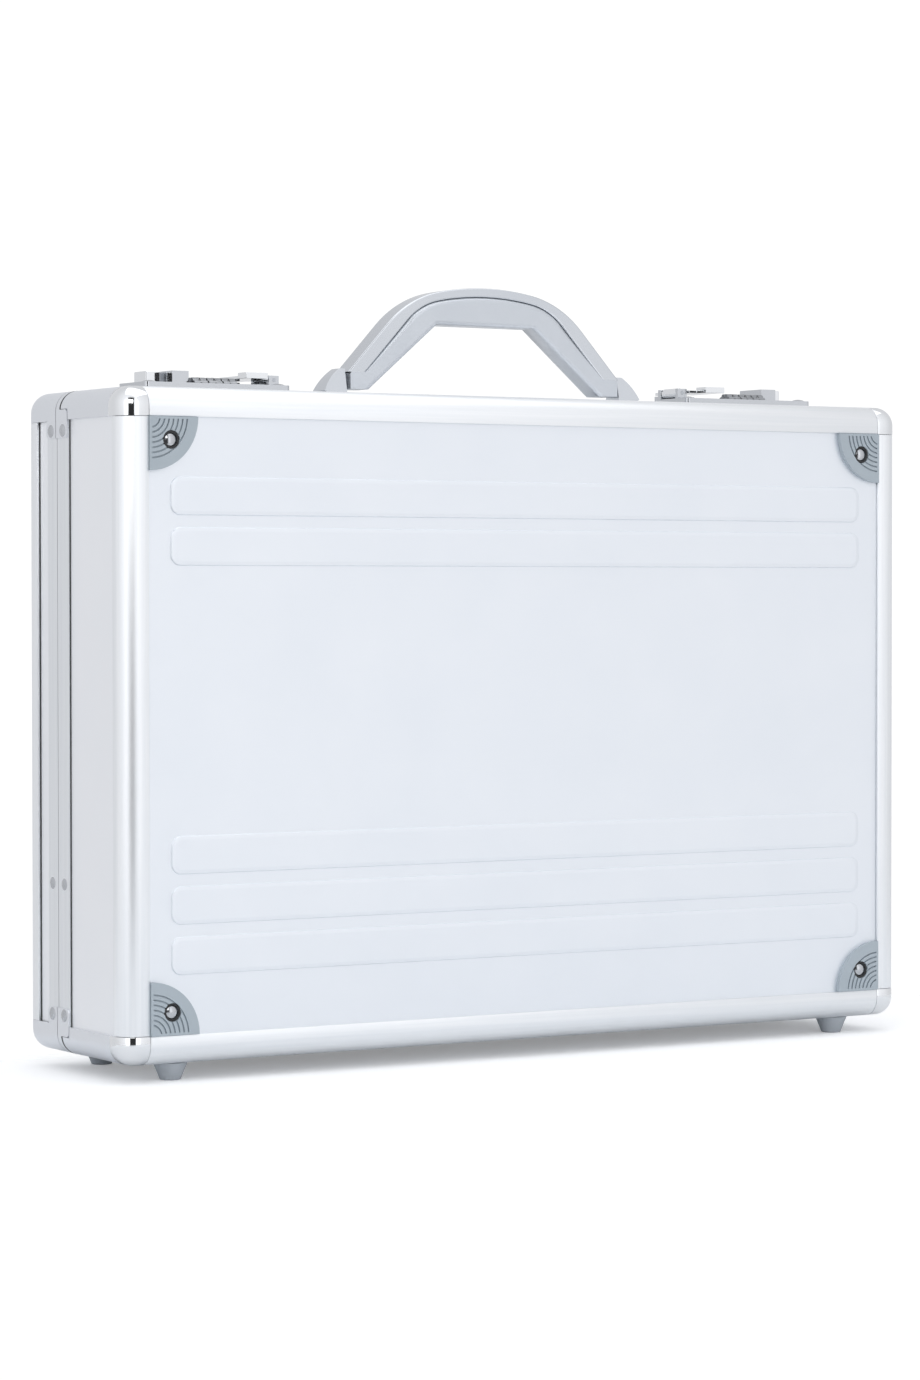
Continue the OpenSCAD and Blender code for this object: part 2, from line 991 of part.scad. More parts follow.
// Rivets that hold the brackets and the lock plates, right half
bracket_mounts = [[bracket_plate_in + 2.6, y_gear], [handle_half - 4, y_gear]];
plate_mounts = [
    [lock_x - plate_l / 2 + rivet_inset_x, y_gear - plate_w / 2 + rivet_inset_y],
    [lock_x + plate_l / 2 - rivet_inset_x, y_gear - plate_w / 2 + rivet_inset_y]
];
mount_points = concat(bracket_mounts, plate_mounts);

module mounting_rivets() {
    color(chrome)
        both_sides() {
            for (p = plate_mounts)
                translate([p[0], p[1], z_top + plate_rise]) {
                    rivet_head(wall_head_r, head_rise);
                    translate([0, 0, -plate_rise - board_in])
                        cylinder(h = plate_rise + board_in, r = wall_mount_r);
                }
            for (p = bracket_mounts)
                translate([p[0], p[1], z_top - board_in])
                    cylinder(h = board_in - lip_t + bracket_plate_t, r = wall_mount_r);
            for (p = mount_points)
                translate([p[0], p[1], z_top - board_in - 1])
                    cylinder(h = 1, r = 1.6 * wall_mount_r);
        }
}

// Plate of the right lock with its fixed block and the hasp lugs
module lock_plate() {
    y0 = y_gear - plate_w / 2;
    y1 = y_gear + plate_w / 2;
    difference() {
        union() {
            translate([lock_x, y_gear, z_top - plate_drop])
                linear_extrude(plate_rise + plate_drop)
                    rounded(plate_l, plate_w, 2);
            span([lock_x + block_x[0], y_gear - block_w / 2 + 2, z_top + plate_rise],
                 [lock_x + block_x[1], y_gear + block_w / 2 + 2, z_top + block_rise]);
            for (y = [barrel_y[0] - slide_play - lug_t, barrel_y[1] + slide_play])
                span([lock_x + hasp_x - 2.8, y_gear + y, z_top + plate_rise],
                     [lock_x + hasp_x + 2.8, y_gear + y + lug_t, z_top + lug_rise]);
        }
        span([lock_x - plate_l, y_base_rim - touch_gap, z_top - plate_drop - 1],
             [lock_x + plate_l, y1 + 1, z_top - rim_inset]);
        span([lock_x + window_x[0], dial_y - dial_r - slide_play, z_top - 5],
             [lock_x + window_x[1], dial_y + dial_r + slide_play, z_top + plate_rise + 1]);
        rod_x(lock_x + window_x[0] - 3, lock_x + window_x[1] + 3,
              shaft_r, dial_y, z_top + dial_up);
        span([lock_x + button_x[0] + 1.5 - slide_play, button_y + 4 - slide_play, z_top - 5],
             [lock_x + button_x[0] + 1.5 + stem_l + button_travel + slide_play,
              button_y + 4 + stem_w + slide_play, z_top + plate_rise + 1]);
        rod_y(y0 - 1, y1 + 1, hasp_pin_r, lock_x + hasp_x, z_top + hasp_up);
        for (p = plate_mounts)
            translate([p[0], p[1], z_top - 12])
                cylinder(h = 30, r = wall_mount_r);
    }
}

module lock_plate_right() {
    color(nickel)
        lock_plate();
}

module lock_plate_left() {
    color(nickel)
        mirror([1, 0, 0])
            lock_plate();
}

// Shallow tray under the dials, on the inner face of the wall board
module lock_case() {
    low = [lock_x + window_x[0] - 4, dial_y - dial_r - 1.4, z_top - board_in - case_drop];
    high = [lock_x + window_x[1] + 4, dial_y + dial_r + 1.4, z_top - board_in];
    difference() {
        span(low, high);
        span(low + [case_t, case_t, case_t], high - [case_t, case_t, -1]);
    }
}

module lock_case_right() {
    color(nickel)
        lock_case();
}

module lock_case_left() {
    color(nickel)
        mirror([1, 0, 0])
            lock_case();
}

module dial_shafts() {
    color(chrome)
        both_sides()
            rod_x(lock_x + window_x[0] - 3, lock_x + window_x[1] + 3,
                  shaft_r, dial_y, z_top + dial_up);
}

module hasp_pins() {
    color(chrome)
        both_sides()
            rod_y(y_gear + barrel_y[0] - slide_play - lug_t, y_gear + barrel_y[1] + slide_play + lug_t,
                  hasp_pin_r, lock_x + hasp_x, z_top + hasp_up);
}

// Number wheel i (0 is nearest the handle) with ten finger notches
module dial(i) {
    x = lock_x + dial_off + (i - (dials - 1) / 2) * dial_pitch;
    translate([x - dial_t / 2, dial_y, z_top + dial_up])
        rotate([90, 0, 90])
            linear_extrude(dial_t)
                difference() {
                    circle(dial_r);
                    circle(shaft_r + run_play);
                    for (a = [0 : 36 : 324])
                        rotate(a + 18)
                            translate([dial_r + 0.5, 0])
                                circle(1.1);
                }
}

module right_dial(i) {
    color(nickel)
        dial(i);
}

module left_dial(i) {
    color(nickel)
        mirror([1, 0, 0])
            dial(i);
}

// Release button that slides away from the handle
module lock_button() {
    span([lock_x + button_x[0], button_y, z_top + plate_rise + slide_play],
         [lock_x + button_x[1], button_y + button_w, z_top + block_rise]);
    span([lock_x + button_x[0] + 1.5, button_y + 4, z_top - rim_inset + slide_play],
         [lock_x + button_x[0] + 1.5 + stem_l, button_y + 4 + stem_w, z_top + plate_rise + 1]);
}

module lock_button_right() {
    color(chrome)
        lock_button();
}

module lock_button_left() {
    color(chrome)
        mirror([1, 0, 0])
            lock_button();
}

// Hasp: barrel, lever with its finger cap, and the arm over the strike
module lock_hasp() {
    z0 = z_top + hasp_up;
    y0 = y_gear - plate_w / 2;
    difference() {
        union() {
            rod_y(y_gear + barrel_y[0], y_gear + barrel_y[1], barrel_r, lock_x + hasp_x, z0);
            span([lock_x + hasp_x, y_gear + barrel_y[0], z0],
                 [lock_x + lever_x[0] + 1, y_gear + barrel_y[1], z0 + lever_t]);
            span([lock_x + lever_x[0], y0 + cap_w, z0],
                 [lock_x + lever_x[1], y_gear + plate_w / 2, z0 + lever_t]);
            span([lock_x + cap_x[0], y0 + 0.5, z0],
                 [lock_x + cap_x[1], y0 + cap_w + 0.5, z_top + cap_rise]);
            span([lock_x + arm_x[0], y_gear + plate_w / 2 - 1, z0],
                 [lock_x + arm_x[1], y_seam + arm_past_seam, z0 + lever_t]);
        }
        rod_y(y0, y_gear + plate_w / 2, hasp_pin_r + run_play, lock_x + hasp_x, z0);
    }
}

module lock_hasp_right() {
    color(chrome)
        lock_hasp();
}

module lock_hasp_left() {
    color(chrome)
        mirror([1, 0, 0])
            lock_hasp();
}

// Striking blocks on the lid's top rim
module lock_strikes() {
    color(nickel)
        both_sides()
            span([lock_x + strike_x[0], y_seam + strike_y[0], z_top - rim_inset],
                 [lock_x + strike_x[1], y_seam + strike_y[1], z_top + hasp_up - strike_gap]);
}

// ---------- hinge and stays ----------

// Leaf of one side: a strip under the rim and every second knuckle
module hinge_leaf(side, first) {
    y_in = knuckle_r + 0.3;
    difference() {
        union() {
            translate([0, y_seam, 0])
                mirror([0, side < 0 ? 1 : 0, 0])
                    span([-hinge_l / 2, y_in, z_bot + rim_inset - leaf_t],
                         [hinge_l / 2, leaf_w, z_bot + rim_inset]);
            for (i = [first : 2 : knuckles - 1]) {
                x0 = -hinge_l / 2 + i * knuckle_l + knuckle_play / 2;
                x1 = x0 + knuckle_l - knuckle_play;
                rod_x(x0, x1, knuckle_r, y_seam, z_hinge);
                translate([0, y_seam, 0])
                    mirror([0, side < 0 ? 1 : 0, 0])
                        span([x0, 0, z_hinge + knuckle_r - leaf_t],
                             [x1, y_in + 0.5, z_hinge + knuckle_r]);
            }
        }
        rod_x(-x_half, x_half, hinge_pin_r + run_play, y_seam, z_hinge);
    }
}

module hinge_base_leaf() {
    color(nickel)
        hinge_leaf(-1, 0);
}

module hinge_lid_leaf() {
    color(nickel)
        hinge_leaf(1, 1);
}

module hinge_pin() {
    color(chrome)
        rod_x(-hinge_l / 2, hinge_l / 2, hinge_pin_r, y_seam, z_hinge);
}

// Rivet through the left rim that a stay link turns on, reaching depth reach
module stay_rivet(y, reach) {
    translate([-x_half + rim_inset, y, z_stay])
        rotate([0, -90, 0])
            rivet_head(stay_head_r, rim_inset);
    rod_x(-x_half + rim_inset, -x_half + reach, stay_r, y, z_stay);
}

module stay_base_rivets() {
    color(nickel)
        both_sides()
            stay_rivet(y_seam - stay_y, lower_in + link_t);
}

// Flat link at depth u between two pivots given as [y, z]
module link(u, a, b) {
    d = b - a;
    translate([-x_half + u, a[0], a[1]])
        rotate([90, 0, 90])
            linear_extrude(link_t) {
                circle(link_w / 2);
                rotate(atan2(d[1], d[0]))
                    translate([0, -link_w / 2])
                        square([norm(d), link_w]);
                translate(d)
                    circle(link_w / 2);
            }
}

// Link from the base pivot to the elbow, with the elbow's stud
module stay_lower() {
    base_pivot = [y_seam - stay_y, z_stay];
    elbow = [y_seam, z_elbow];
    difference() {
        link(lower_in, base_pivot, elbow);
        rod_x(-x_half, -x_half + 20, stay_r + run_play, base_pivot[0], base_pivot[1]);
    }
    rod_x(-x_half + lower_in, -x_half + upper_in + link_t + 0.3, stay_r, elbow[0], elbow[1]);
}

// Link from the elbow to the lid pivot, whose hole is free on its rivet
module stay_upper() {
    lid_pivot = [y_seam + stay_y, z_stay];
    elbow = [y_seam, z_elbow];
    difference() {
        link(upper_in, elbow, lid_pivot);
        rod_x(-x_half, -x_half + 20, stay_r + run_play, elbow[0], elbow[1]);
        rod_x(-x_half, -x_half + 20, stay_r + open_play, lid_pivot[0], lid_pivot[1]);
    }
}

module stay_lower_left() {
    color(nickel)
        stay_lower();
}

module stay_lower_right() {
    color(nickel)
        mirror([1, 0, 0])
            stay_lower();
}

module stay_upper_left() {
    color(nickel)
        stay_upper();
}

module stay_upper_right() {
    color(nickel)
        mirror([1, 0, 0])
            stay_upper();
}

// ---------- lid shell ----------

module lid_face_panel() {
    color(aluminium)
        to_back()
            face_sheet();
}

module lid_face_core() {
    color("tan")
        to_back()
            face_board();
}

// Holes in the lid's side boards, rims and caps
module lid_rim_holes() {
    rod_x(-x_half - 1, -x_half + 12, stay_r, y_seam + stay_y, z_stay);
    for (z = [z_bot + tab_rivet, z_top - tab_rivet])
        rod_x(-x_half - 1, -x_half + 12, tab_shank_r, y_lid_tab, z);
}

module lid_walls() {
    color(aluminium)
        difference() {
            union() {
                both_sides()
                    board_left(y_lid_board, y_lid_board_end);
                board_bottom(y_lid_board, y_lid_board_end);
                to_top()
                    board_bottom(y_lid_board, y_lid_board_end);
            }
            both_sides() {
                lid_rim_holes();
                translate([x_half - foot_from_side, y_lid_foot, z_bot])
                    cylinder(h = board_in + 1, r = stem_r);
            }
            end_rim_holes(y_lid_tab);
        }
}

module lid_edges() {
    color(frame_metal)
        to_back() {
            both_sides()
                edge_left(face_leg, lid_cap_l);
            edge_bottom(face_leg, lid_cap_l);
            to_top()
                edge_bottom(face_leg, lid_cap_l);
        }
}

module lid_rim() {
    color(frame_metal)
        difference() {
            union() {
                ring(rim_inset, lip_t, y_lid_start, y_lid_rim_end);
                ring(rim_inset, web_in, y_lid_start, y_lid_start + lid_head);
                ring(board_in, web_in, y_lid_start + lid_head, y_lid_rim_end - 1);
                intersection() {
                    ring(tongue_in, tongue_in + tongue_t, y_lid_start - tongue_l, y_lid_start + 1);
                    span([-x_half, y_lid_start - tongue_l, z_bot + tongue_from],
                         [x_half, y_lid_start + 1, z_top]);
                }
            }
            both_sides()
                lid_rim_holes();
            end_rim_holes(y_lid_tab);
            rim_joints();
        }
}

module lid_corner_caps() {
    color(nickel)
        difference() {
            four_corners() {
                translate([-x_half, y_back, z_bot])
                    mirror([0, 1, 0])
                        corner_shell(rim_inset, lid_cap_l, lid_depth - seam_gap / 2);
                tabs(y_lid_rim_end - 0.2, y_lid_start, lid_cap_l - 0.2);
            }
            both_sides()
                lid_rim_holes();
            end_rim_holes(y_lid_tab);
        }
}

module lid_bumpers() {
    color(bumper_grey)
        to_back()
            four_corners()
                bumper();
}

// Bumper, tab and stay rivets of the lid
module lid_rivets() {
    color(nickel) {
        four_corners() {
            to_back()
                bumper_rivet();
            tab_rivets(y_lid_tab);
        }
        both_sides()
            stay_rivet(y_seam + stay_y, upper_in + link_t);
    }
}

module lid_lining() {
    color(lining_grey)
        to_back()
            lining(y_front + face_lining_in, -y_lid_rim_end - 1.8);
}

module lid_feet() {
    color(rubber_grey)
        both_sides()
            translate([x_half - foot_from_side, y_lid_foot, 0])
                foot(stem_r);
}

// ---------- assembly ----------

base_face_panel();
base_face_core();
base_wall_top();
base_wall_bottom();
base_wall_left();
base_wall_right();
base_edge_top();
base_edge_bottom();
base_edge_left();
base_edge_right();
base_corner_rails();
base_corner_caps();
base_rim();
base_rim_corners();
base_bumpers();
base_bumper_rivets();
base_rim_rivets();
base_feet();
base_lining();
handle_bracket_left();
handle_bracket_right();
handle_pins();
mounting_rivets();
lock_plate_left();
lock_plate_right();
lock_case_left();
lock_case_right();
dial_shafts();
hasp_pins();
hinge_base_leaf();
hinge_pin();
stay_base_rivets();
handle_frame();
handle_grip();
lock_button_left();
lock_button_right();
lock_hasp_left();
lock_hasp_right();
left_dial(0);  // dial_left_1
left_dial(1);  // dial_left_2
left_dial(2);  // dial_left_3
right_dial(0);  // dial_right_1
right_dial(1);  // dial_right_2
right_dial(2);  // dial_right_3
stay_lower_left();
stay_lower_right();
stay_upper_left();
stay_upper_right();
lid_face_panel();
lid_face_core();
lid_walls();
lid_edges();
lid_rim();
lid_corner_caps();
lid_bumpers();
lid_rivets();
lid_lining();
lid_feet();
lock_strikes();
hinge_lid_leaf();
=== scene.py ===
"""Aluminium attache case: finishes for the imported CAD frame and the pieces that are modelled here.

Every length is in metres, in the same frame as the CAD: X across the case, Y from the base's face
(front) to the lid's face (back), Z up from the surface that the feet stand on.
"""

import logging
import math
from collections.abc import Callable
from dataclasses import dataclass, field
from enum import Enum

import bmesh
import bpy
from bpy.types import Material, Node, NodeSocket, NodeTree, Object
from mathutils import Matrix, Vector


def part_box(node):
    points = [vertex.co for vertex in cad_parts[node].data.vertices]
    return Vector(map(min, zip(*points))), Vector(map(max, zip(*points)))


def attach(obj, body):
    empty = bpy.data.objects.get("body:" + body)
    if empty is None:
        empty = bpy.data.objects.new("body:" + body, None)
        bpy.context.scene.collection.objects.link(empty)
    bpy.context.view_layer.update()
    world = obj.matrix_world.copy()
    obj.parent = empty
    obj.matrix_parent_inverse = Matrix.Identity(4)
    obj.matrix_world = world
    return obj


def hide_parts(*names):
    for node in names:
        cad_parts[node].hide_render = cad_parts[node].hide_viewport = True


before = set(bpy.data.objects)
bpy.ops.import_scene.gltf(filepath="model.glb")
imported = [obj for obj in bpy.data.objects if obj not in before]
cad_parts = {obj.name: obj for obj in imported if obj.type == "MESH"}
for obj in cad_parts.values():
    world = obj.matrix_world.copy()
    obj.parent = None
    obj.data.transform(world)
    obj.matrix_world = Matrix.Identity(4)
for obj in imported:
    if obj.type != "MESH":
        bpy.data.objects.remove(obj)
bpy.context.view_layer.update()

Pair = tuple[float, float]
Triple = tuple[float, float, float]
# Says whether an edge with these two ends, or a face with this centre and normal, is chosen.
Test = Callable[[Vector, Vector], bool]

LOG = logging.getLogger("attache_case")
MM = 0.001
# Places closer together than these are the same, in metres.
SAME = 1e-6
NEAR = 1e-5
# Settings of shader nodes.
TIMES = {"operation": "MULTIPLY"}
SMOOTH = {"interpolation_type": "SMOOTHSTEP"}
# Edges sharper than this many degrees are rounded, and stay sharp in the shading.
SHARP = 32.0


# ---------------------------------------------------------------- small tools


def linear(hex_colour: str) -> tuple[float, float, float, float]:
    """Turn an sRGB hex colour into linear RGBA.

    Args:
        hex_colour: Six hex digits, such as "E6E9ED".

    Returns:
        The colour in linear light, with alpha 1.
    """
    parts = [int(hex_colour[i : i + 2], 16) / 255 for i in (0, 2, 4)]
    light = [c / 12.92 if c <= 0.04045 else ((c + 0.055) / 1.055) ** 2.4 for c in parts]
    return (light[0], light[1], light[2], 1.0)


def add_node(
    tree: NodeTree,
    kind: str,
    settings: dict[str, object] | None = None,
    inputs: dict[str | int, object] | None = None,
) -> Node:
    """Add a shader node, set it up and link it.

    Args:
        tree: The node tree that gets the node.
        kind: The node's type name without "ShaderNode", such as "TexNoise".
        settings: Properties to set on the node itself.
        inputs: Values for its input sockets, by name or number. An output socket is linked.

    Returns:
        The new node.
    """
    node = tree.nodes.new(f"ShaderNode{kind}")
    for name, value in (settings or {}).items():
        setattr(node, name, value)
    for key, value in (inputs or {}).items():
        if isinstance(value, NodeSocket):
            tree.links.new(value, node.inputs[key])
        else:
            node.inputs[key].default_value = value
    return node


def start_material(name: str, **levels: float) -> tuple[Material, NodeTree, Node, NodeSocket]:
    """Start a material that reads Object coordinates.

    Args:
        name: The material's name.
        **levels: Inputs of its shader, such as Coat_Weight, with "_" for a space.

    Returns:
        The material, its node tree, its shader node and the coordinates' socket.
    """
    material = bpy.data.materials.new(name)
    material.use_nodes = True
    tree = material.node_tree
    shader = tree.nodes["Principled BSDF"]
    for key, level in levels.items():
        shader.inputs[key.replace("_", " ")].default_value = level
    return material, tree, shader, add_node(tree, "TexCoord").outputs["Object"]


def link_shader(tree: NodeTree, shader: Node, **sockets: object) -> None:
    """Link output sockets to a shader's inputs, named with "_" for a space."""
    for key, socket in sockets.items():
        tree.links.new(socket, shader.inputs[key.replace("_", " ")])


def lay_surface(
    tree: NodeTree,
    shader: Node,
    colours: tuple[str, str],
    share: NodeSocket,
    height: NodeSocket,
    relief_mm: float,
) -> None:
    """Mix a surface's two colours and give it relief.

    Args:
        tree: The material's node tree.
        shader: Its shader node.
        colours: Two sRGB hex colours.
        share: The share of the second colour.
        height: The height of the relief, from 0 to 1.
        relief_mm: The height that 1 stands for, in millimetres.
    """
    first, second = (linear(colour) for colour in colours)
    paint = {"Factor": share, "A": first, "B": second}
    mixed = add_node(tree, "Mix", {"data_type": "RGBA"}, paint).outputs["Result"]
    relief = {"Height": height, "Distance": relief_mm * MM}
    normal = add_node(tree, "Bump", inputs=relief).outputs["Normal"]
    link_shader(tree, shader, Base_Color=mixed, Normal=normal)


def ramp(value: NodeSocket, between: Pair, levels: Pair) -> dict[str, object]:
    """Name the inputs that take a value from one level to another.

    Args:
        value: The socket with the value.
        between: The values at which the change starts and ends.
        levels: The levels there.

    Returns:
        The inputs' values by name.
    """
    names = ("Value", "From Min", "From Max", "To Min", "To Max")
    return dict(zip(names, (value, *between, *levels)))


def deselect_all() -> None:
    """Leave object mode with nothing selected."""
    if bpy.context.object is not None and bpy.context.object.mode != "OBJECT":
        bpy.ops.object.mode_set(mode="OBJECT")
    bpy.ops.object.select_all(action="DESELECT")


def make_active(obj: Object) -> None:
    """Select one object alone and make it active."""
    deselect_all()
    obj.select_set(True)
    bpy.context.view_layer.objects.active = obj


def bake_place(obj: Object) -> None:
    """Put an object's place, turn and scale into its mesh."""
    make_active(obj)
    bpy.ops.object.transform_apply(location=True, rotation=True, scale=True)


def apply_modifier(obj: Object, kind: str, **settings: object) -> None:
    """Add a modifier and apply it at once.

    Args:
        obj: The object that is changed.
        kind: The modifier's type, such as "BEVEL".
        **settings: The modifier's properties.
    """
    make_active(obj)
    modifier = obj.modifiers.new(kind.lower(), kind)
    for name, value in settings.items():
        setattr(modifier, name, value)
    bpy.ops.object.modifier_apply(modifier=modifier.name)


def round_sharp(obj: Object, width: float, steps: int = 2, degrees: float = 50) -> None:
    """Round an object's sharp edges.

    Args:
        obj: The object that is changed.
        width: Width of the rounding in metres.
        steps: Segments across the rounding.
        degrees: Edges sharper than this are rounded.
    """
    limit = {"limit_method": "ANGLE", "angle_limit": math.radians(degrees)}
    apply_modifier(obj, "BEVEL", width=width, segments=steps, **limit)


def smooth_faces(obj: Object) -> None:
    """Shade an object smooth between its sharp edges, led by its large faces."""
    make_active(obj)
    bpy.ops.object.shade_smooth_by_angle(angle=math.radians(SHARP))
    apply_modifier(obj, "WEIGHTED_NORMAL", keep_sharp=True, weight=80)


def edit_all(obj: Object) -> None:
    """Enter edit mode with all of an object selected."""
    make_active(obj)
    bpy.ops.object.mode_set(mode="EDIT")
    bpy.ops.mesh.select_all(action="SELECT")


def leave_edit() -> None:
    """Go back to object mode."""
    bpy.ops.object.mode_set(mode="OBJECT")


def tidy_mesh(obj: Object, degrees: float) -> None:
    """Merge doubles, point the faces outwards and smooth the soft edges.

    Args:
        obj: The object that is tidied.
        degrees: Edges sharper than this stay sharp.
    """
    edit_all(obj)
    bpy.ops.mesh.remove_doubles(threshold=SAME)
    bpy.ops.mesh.normals_make_consistent(inside=False)
    leave_edit()
    bpy.ops.object.shade_smooth_by_angle(angle=math.radians(degrees))


def join_pieces(pieces: list[Object]) -> Object:
    """Join objects into the first of them and return it."""
    deselect_all()
    for obj in pieces:
        obj.select_set(True)
    bpy.context.view_layer.objects.active = pieces[0]
    bpy.ops.object.join()
    return pieces[0]


def finish_piece(
    obj: Object,
    material: Material,
    body: str,
    replaced: tuple[str, ...] = (),
) -> None:
    """Dress a finished piece, make it ride on its body and report it.

    Args:
        obj: The piece, in its place.
        material: Its material.
        body: The CAD body that it moves with.
        replaced: CAD nodes that it stands for.
    """
    bake_place(obj)
    obj.data.materials.clear()
    obj.data.materials.append(material)
    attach(obj, body)
    if replaced:
        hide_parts(*replaced)
    LOG.info("%s: %d faces on %s", obj.name, len(obj.data.polygons), body)


def dress_nodes(material: Material, *names: str) -> None:
    """Give CAD nodes that keep their shape a better material.

    Args:
        material: The material for all of their slots.
        *names: The nodes' names.
    """
    for name in names:
        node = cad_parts[name]
        for place in node.material_slots:
            place.material = material
        if not node.material_slots:
            node.data.materials.append(material)
        LOG.info("%s: CAD node, %s", name, material.name)


# ------------------------------------------------------------------- finishes


# How many times finer drawn lines are across than along.
FINER = 60.0


class Run(Enum):
    """The direction that drawn or brushed lines follow, as scales along X, Y and Z."""

    ALONG_X = (1.0, FINER, FINER)
    ALONG_Z = (FINER, FINER, 1.0)
    NONE = (FINER, FINER, FINER)


@dataclass(frozen=True)
class Metal:
    """A bare, plated or anodised metal with fine lines and a slightly uneven sheen.

    Attributes:
        name: The real material and how its surface was made.
        colour: Main sRGB colour.
        shade: sRGB colour of its duller patches.
        roughness: Mean roughness of the surface.
        spread: How far the roughness varies either way.
        line_mm: Width of the finest drawn line or grain in millimetres.
        line_height: Height of the lines in the bump, in millimetres.
        patch_mm: Size of the duller patches in millimetres.
        run: The direction of the lines.
        streak_mm: Width of the drawing streaks in millimetres, which take the patches' place.
    """

    name: str
    colour: str
    shade: str
    roughness: float
    spread: float = 0.04
    line_mm: float = 0.5
    line_height: float = 0.004
    patch_mm: float = 45.0
    run: Run = Run.NONE
    streak_mm: float = 0.0

    def build(self) -> Material:
        """Make the material."""
        material, tree, shader, place = start_material(self.name, Metallic=1.0)
        scale = Vector(self.run.value) / (self.line_mm * MM * FINER)
        along = add_node(tree, "Mapping", inputs={"Vector": place, "Scale": scale}).outputs[0]
        grain = {"Vector": along, "Scale": 1.0, "Detail": 2.0, "Roughness": 0.6}
        lines = add_node(tree, "TexNoise", inputs=grain).outputs["Fac"]
        uneven = {"Vector": place, "Scale": 1.0 / (self.patch_mm * MM), "Detail": 3.0}
        if self.streak_mm > 0:
            streak_scale = self.line_mm / self.streak_mm
            uneven = {"Vector": along, "Scale": streak_scale, "Detail": 2.0, "Roughness": 0.7}
        patches = add_node(tree, "TexNoise", inputs=uneven).outputs["Fac"]
        both = add_node(
            tree, "Math", {"operation": "MULTIPLY_ADD"}, {0: patches, 1: 0.5, 2: lines}
        ).outputs["Value"]
        levels = (max(0.01, self.roughness - self.spread), self.roughness + self.spread)
        sheen = add_node(tree, "MapRange", inputs=ramp(both, (0.4, 1.1), levels))
        link_shader(tree, shader, Roughness=sheen.outputs["Result"])
        colours = (self.colour, self.shade)
        lay_surface(tree, shader, colours, patches, lines, self.line_height)
        return material


@dataclass(frozen=True)
class Moulded:
    """A moulded plastic or rubber with a fine spark-eroded grain.

    Attributes:
        name: The real material and how its surface was made.
        colour: Main sRGB colour.
        shade: sRGB colour of the duller patches.
        roughness: Mean roughness.
        grain_mm: Size of the mould grain in millimetres.
        grain_height: Height of the grain in millimetres.
        ior: Index of refraction.
        metallic: Share of metal flake in a silver paint, 0 for plain plastic.
        coat: Weight of a clear coat.
        flow_mm: Size of the duller patches in millimetres.
        spread: How far the roughness varies either way.
    """

    name: str
    colour: str
    shade: str
    roughness: float
    grain_mm: float = 0.7
    grain_height: float = 0.01
    ior: float = 1.5
    metallic: float = 0.0
    coat: float = 0.0
    flow_mm: float = 18.0
    spread: float = 0.05

    def build(self) -> Material:
        """Make the material."""
        material, tree, shader, place = start_material(
            self.name,
            Metallic=self.metallic,
            IOR=self.ior,
            Coat_Weight=self.coat,
            Coat_Roughness=0.18,
        )
        fine = {"Vector": place, "Scale": 1.0 / (self.grain_mm * MM), "Detail": 3.0}
        grain = add_node(tree, "TexNoise", inputs=fine).outputs["Fac"]
        coarse = {"Vector": place, "Scale": 1.0 / (self.flow_mm * MM), "Detail": 2.0}
        flow = add_node(tree, "TexNoise", inputs=coarse).outputs["Fac"]
        levels = (self.roughness - self.spread, self.roughness + self.spread)
        sheen = add_node(tree, "MapRange", inputs=ramp(grain, (0.3, 0.7), levels))
        link_shader(tree, shader, Roughness=sheen.outputs["Result"])
        lay_surface(tree, shader, (self.colour, self.shade), flow, grain, self.grain_height)
        return material


@dataclass(frozen=True)
class Woven:
    """A plain-woven polyester lining: thread relief, painted shade between threads, a soft sheen.

    Attributes:
        name: The real material and how its surface was made.
        colour: sRGB colour of the raised threads.
        shade: sRGB colour between the threads, painted shade.
        thread_mm: Thread spacing in millimetres, drawn coarse enough to show.
        thread_height: Height of a thread in millimetres.
    """

    name: str
    colour: str
    shade: str
    thread_mm: float = 1.1
    thread_height: float = 0.12

    def build(self) -> Material:
        """Make the material."""
        material, tree, shader, place = start_material(
            self.name, Roughness=0.85, Sheen_Weight=0.35, Sheen_Roughness=0.45
        )
        axes = add_node(tree, "SeparateXYZ", inputs={"Vector": place})
        pitch = 2 * math.pi / (self.thread_mm * MM)
        waves = []
        for axis in axes.outputs:
            turn = add_node(tree, "Math", TIMES, {0: axis, 1: pitch})
            wave = add_node(tree, "Math", {"operation": "SINE"}, {0: turn.outputs["Value"]})
            waves.append(wave.outputs["Value"])
        weft = add_node(tree, "Math", {"operation": "ADD"}, {0: waves[0], 1: waves[1]})
        cloth = add_node(tree, "Math", TIMES, {0: weft.outputs["Value"], 1: waves[2]})
        height = add_node(
            tree,
            "MapRange",
            inputs={"Value": cloth.outputs["Value"], "From Min": -1.6, "From Max": 1.6},
        ).outputs["Result"]
        # The darker colour follows the low parts of the weave: painted shade between the threads.
        lay_surface(tree, shader, (self.shade, self.colour), height, height, self.thread_height)
        return material


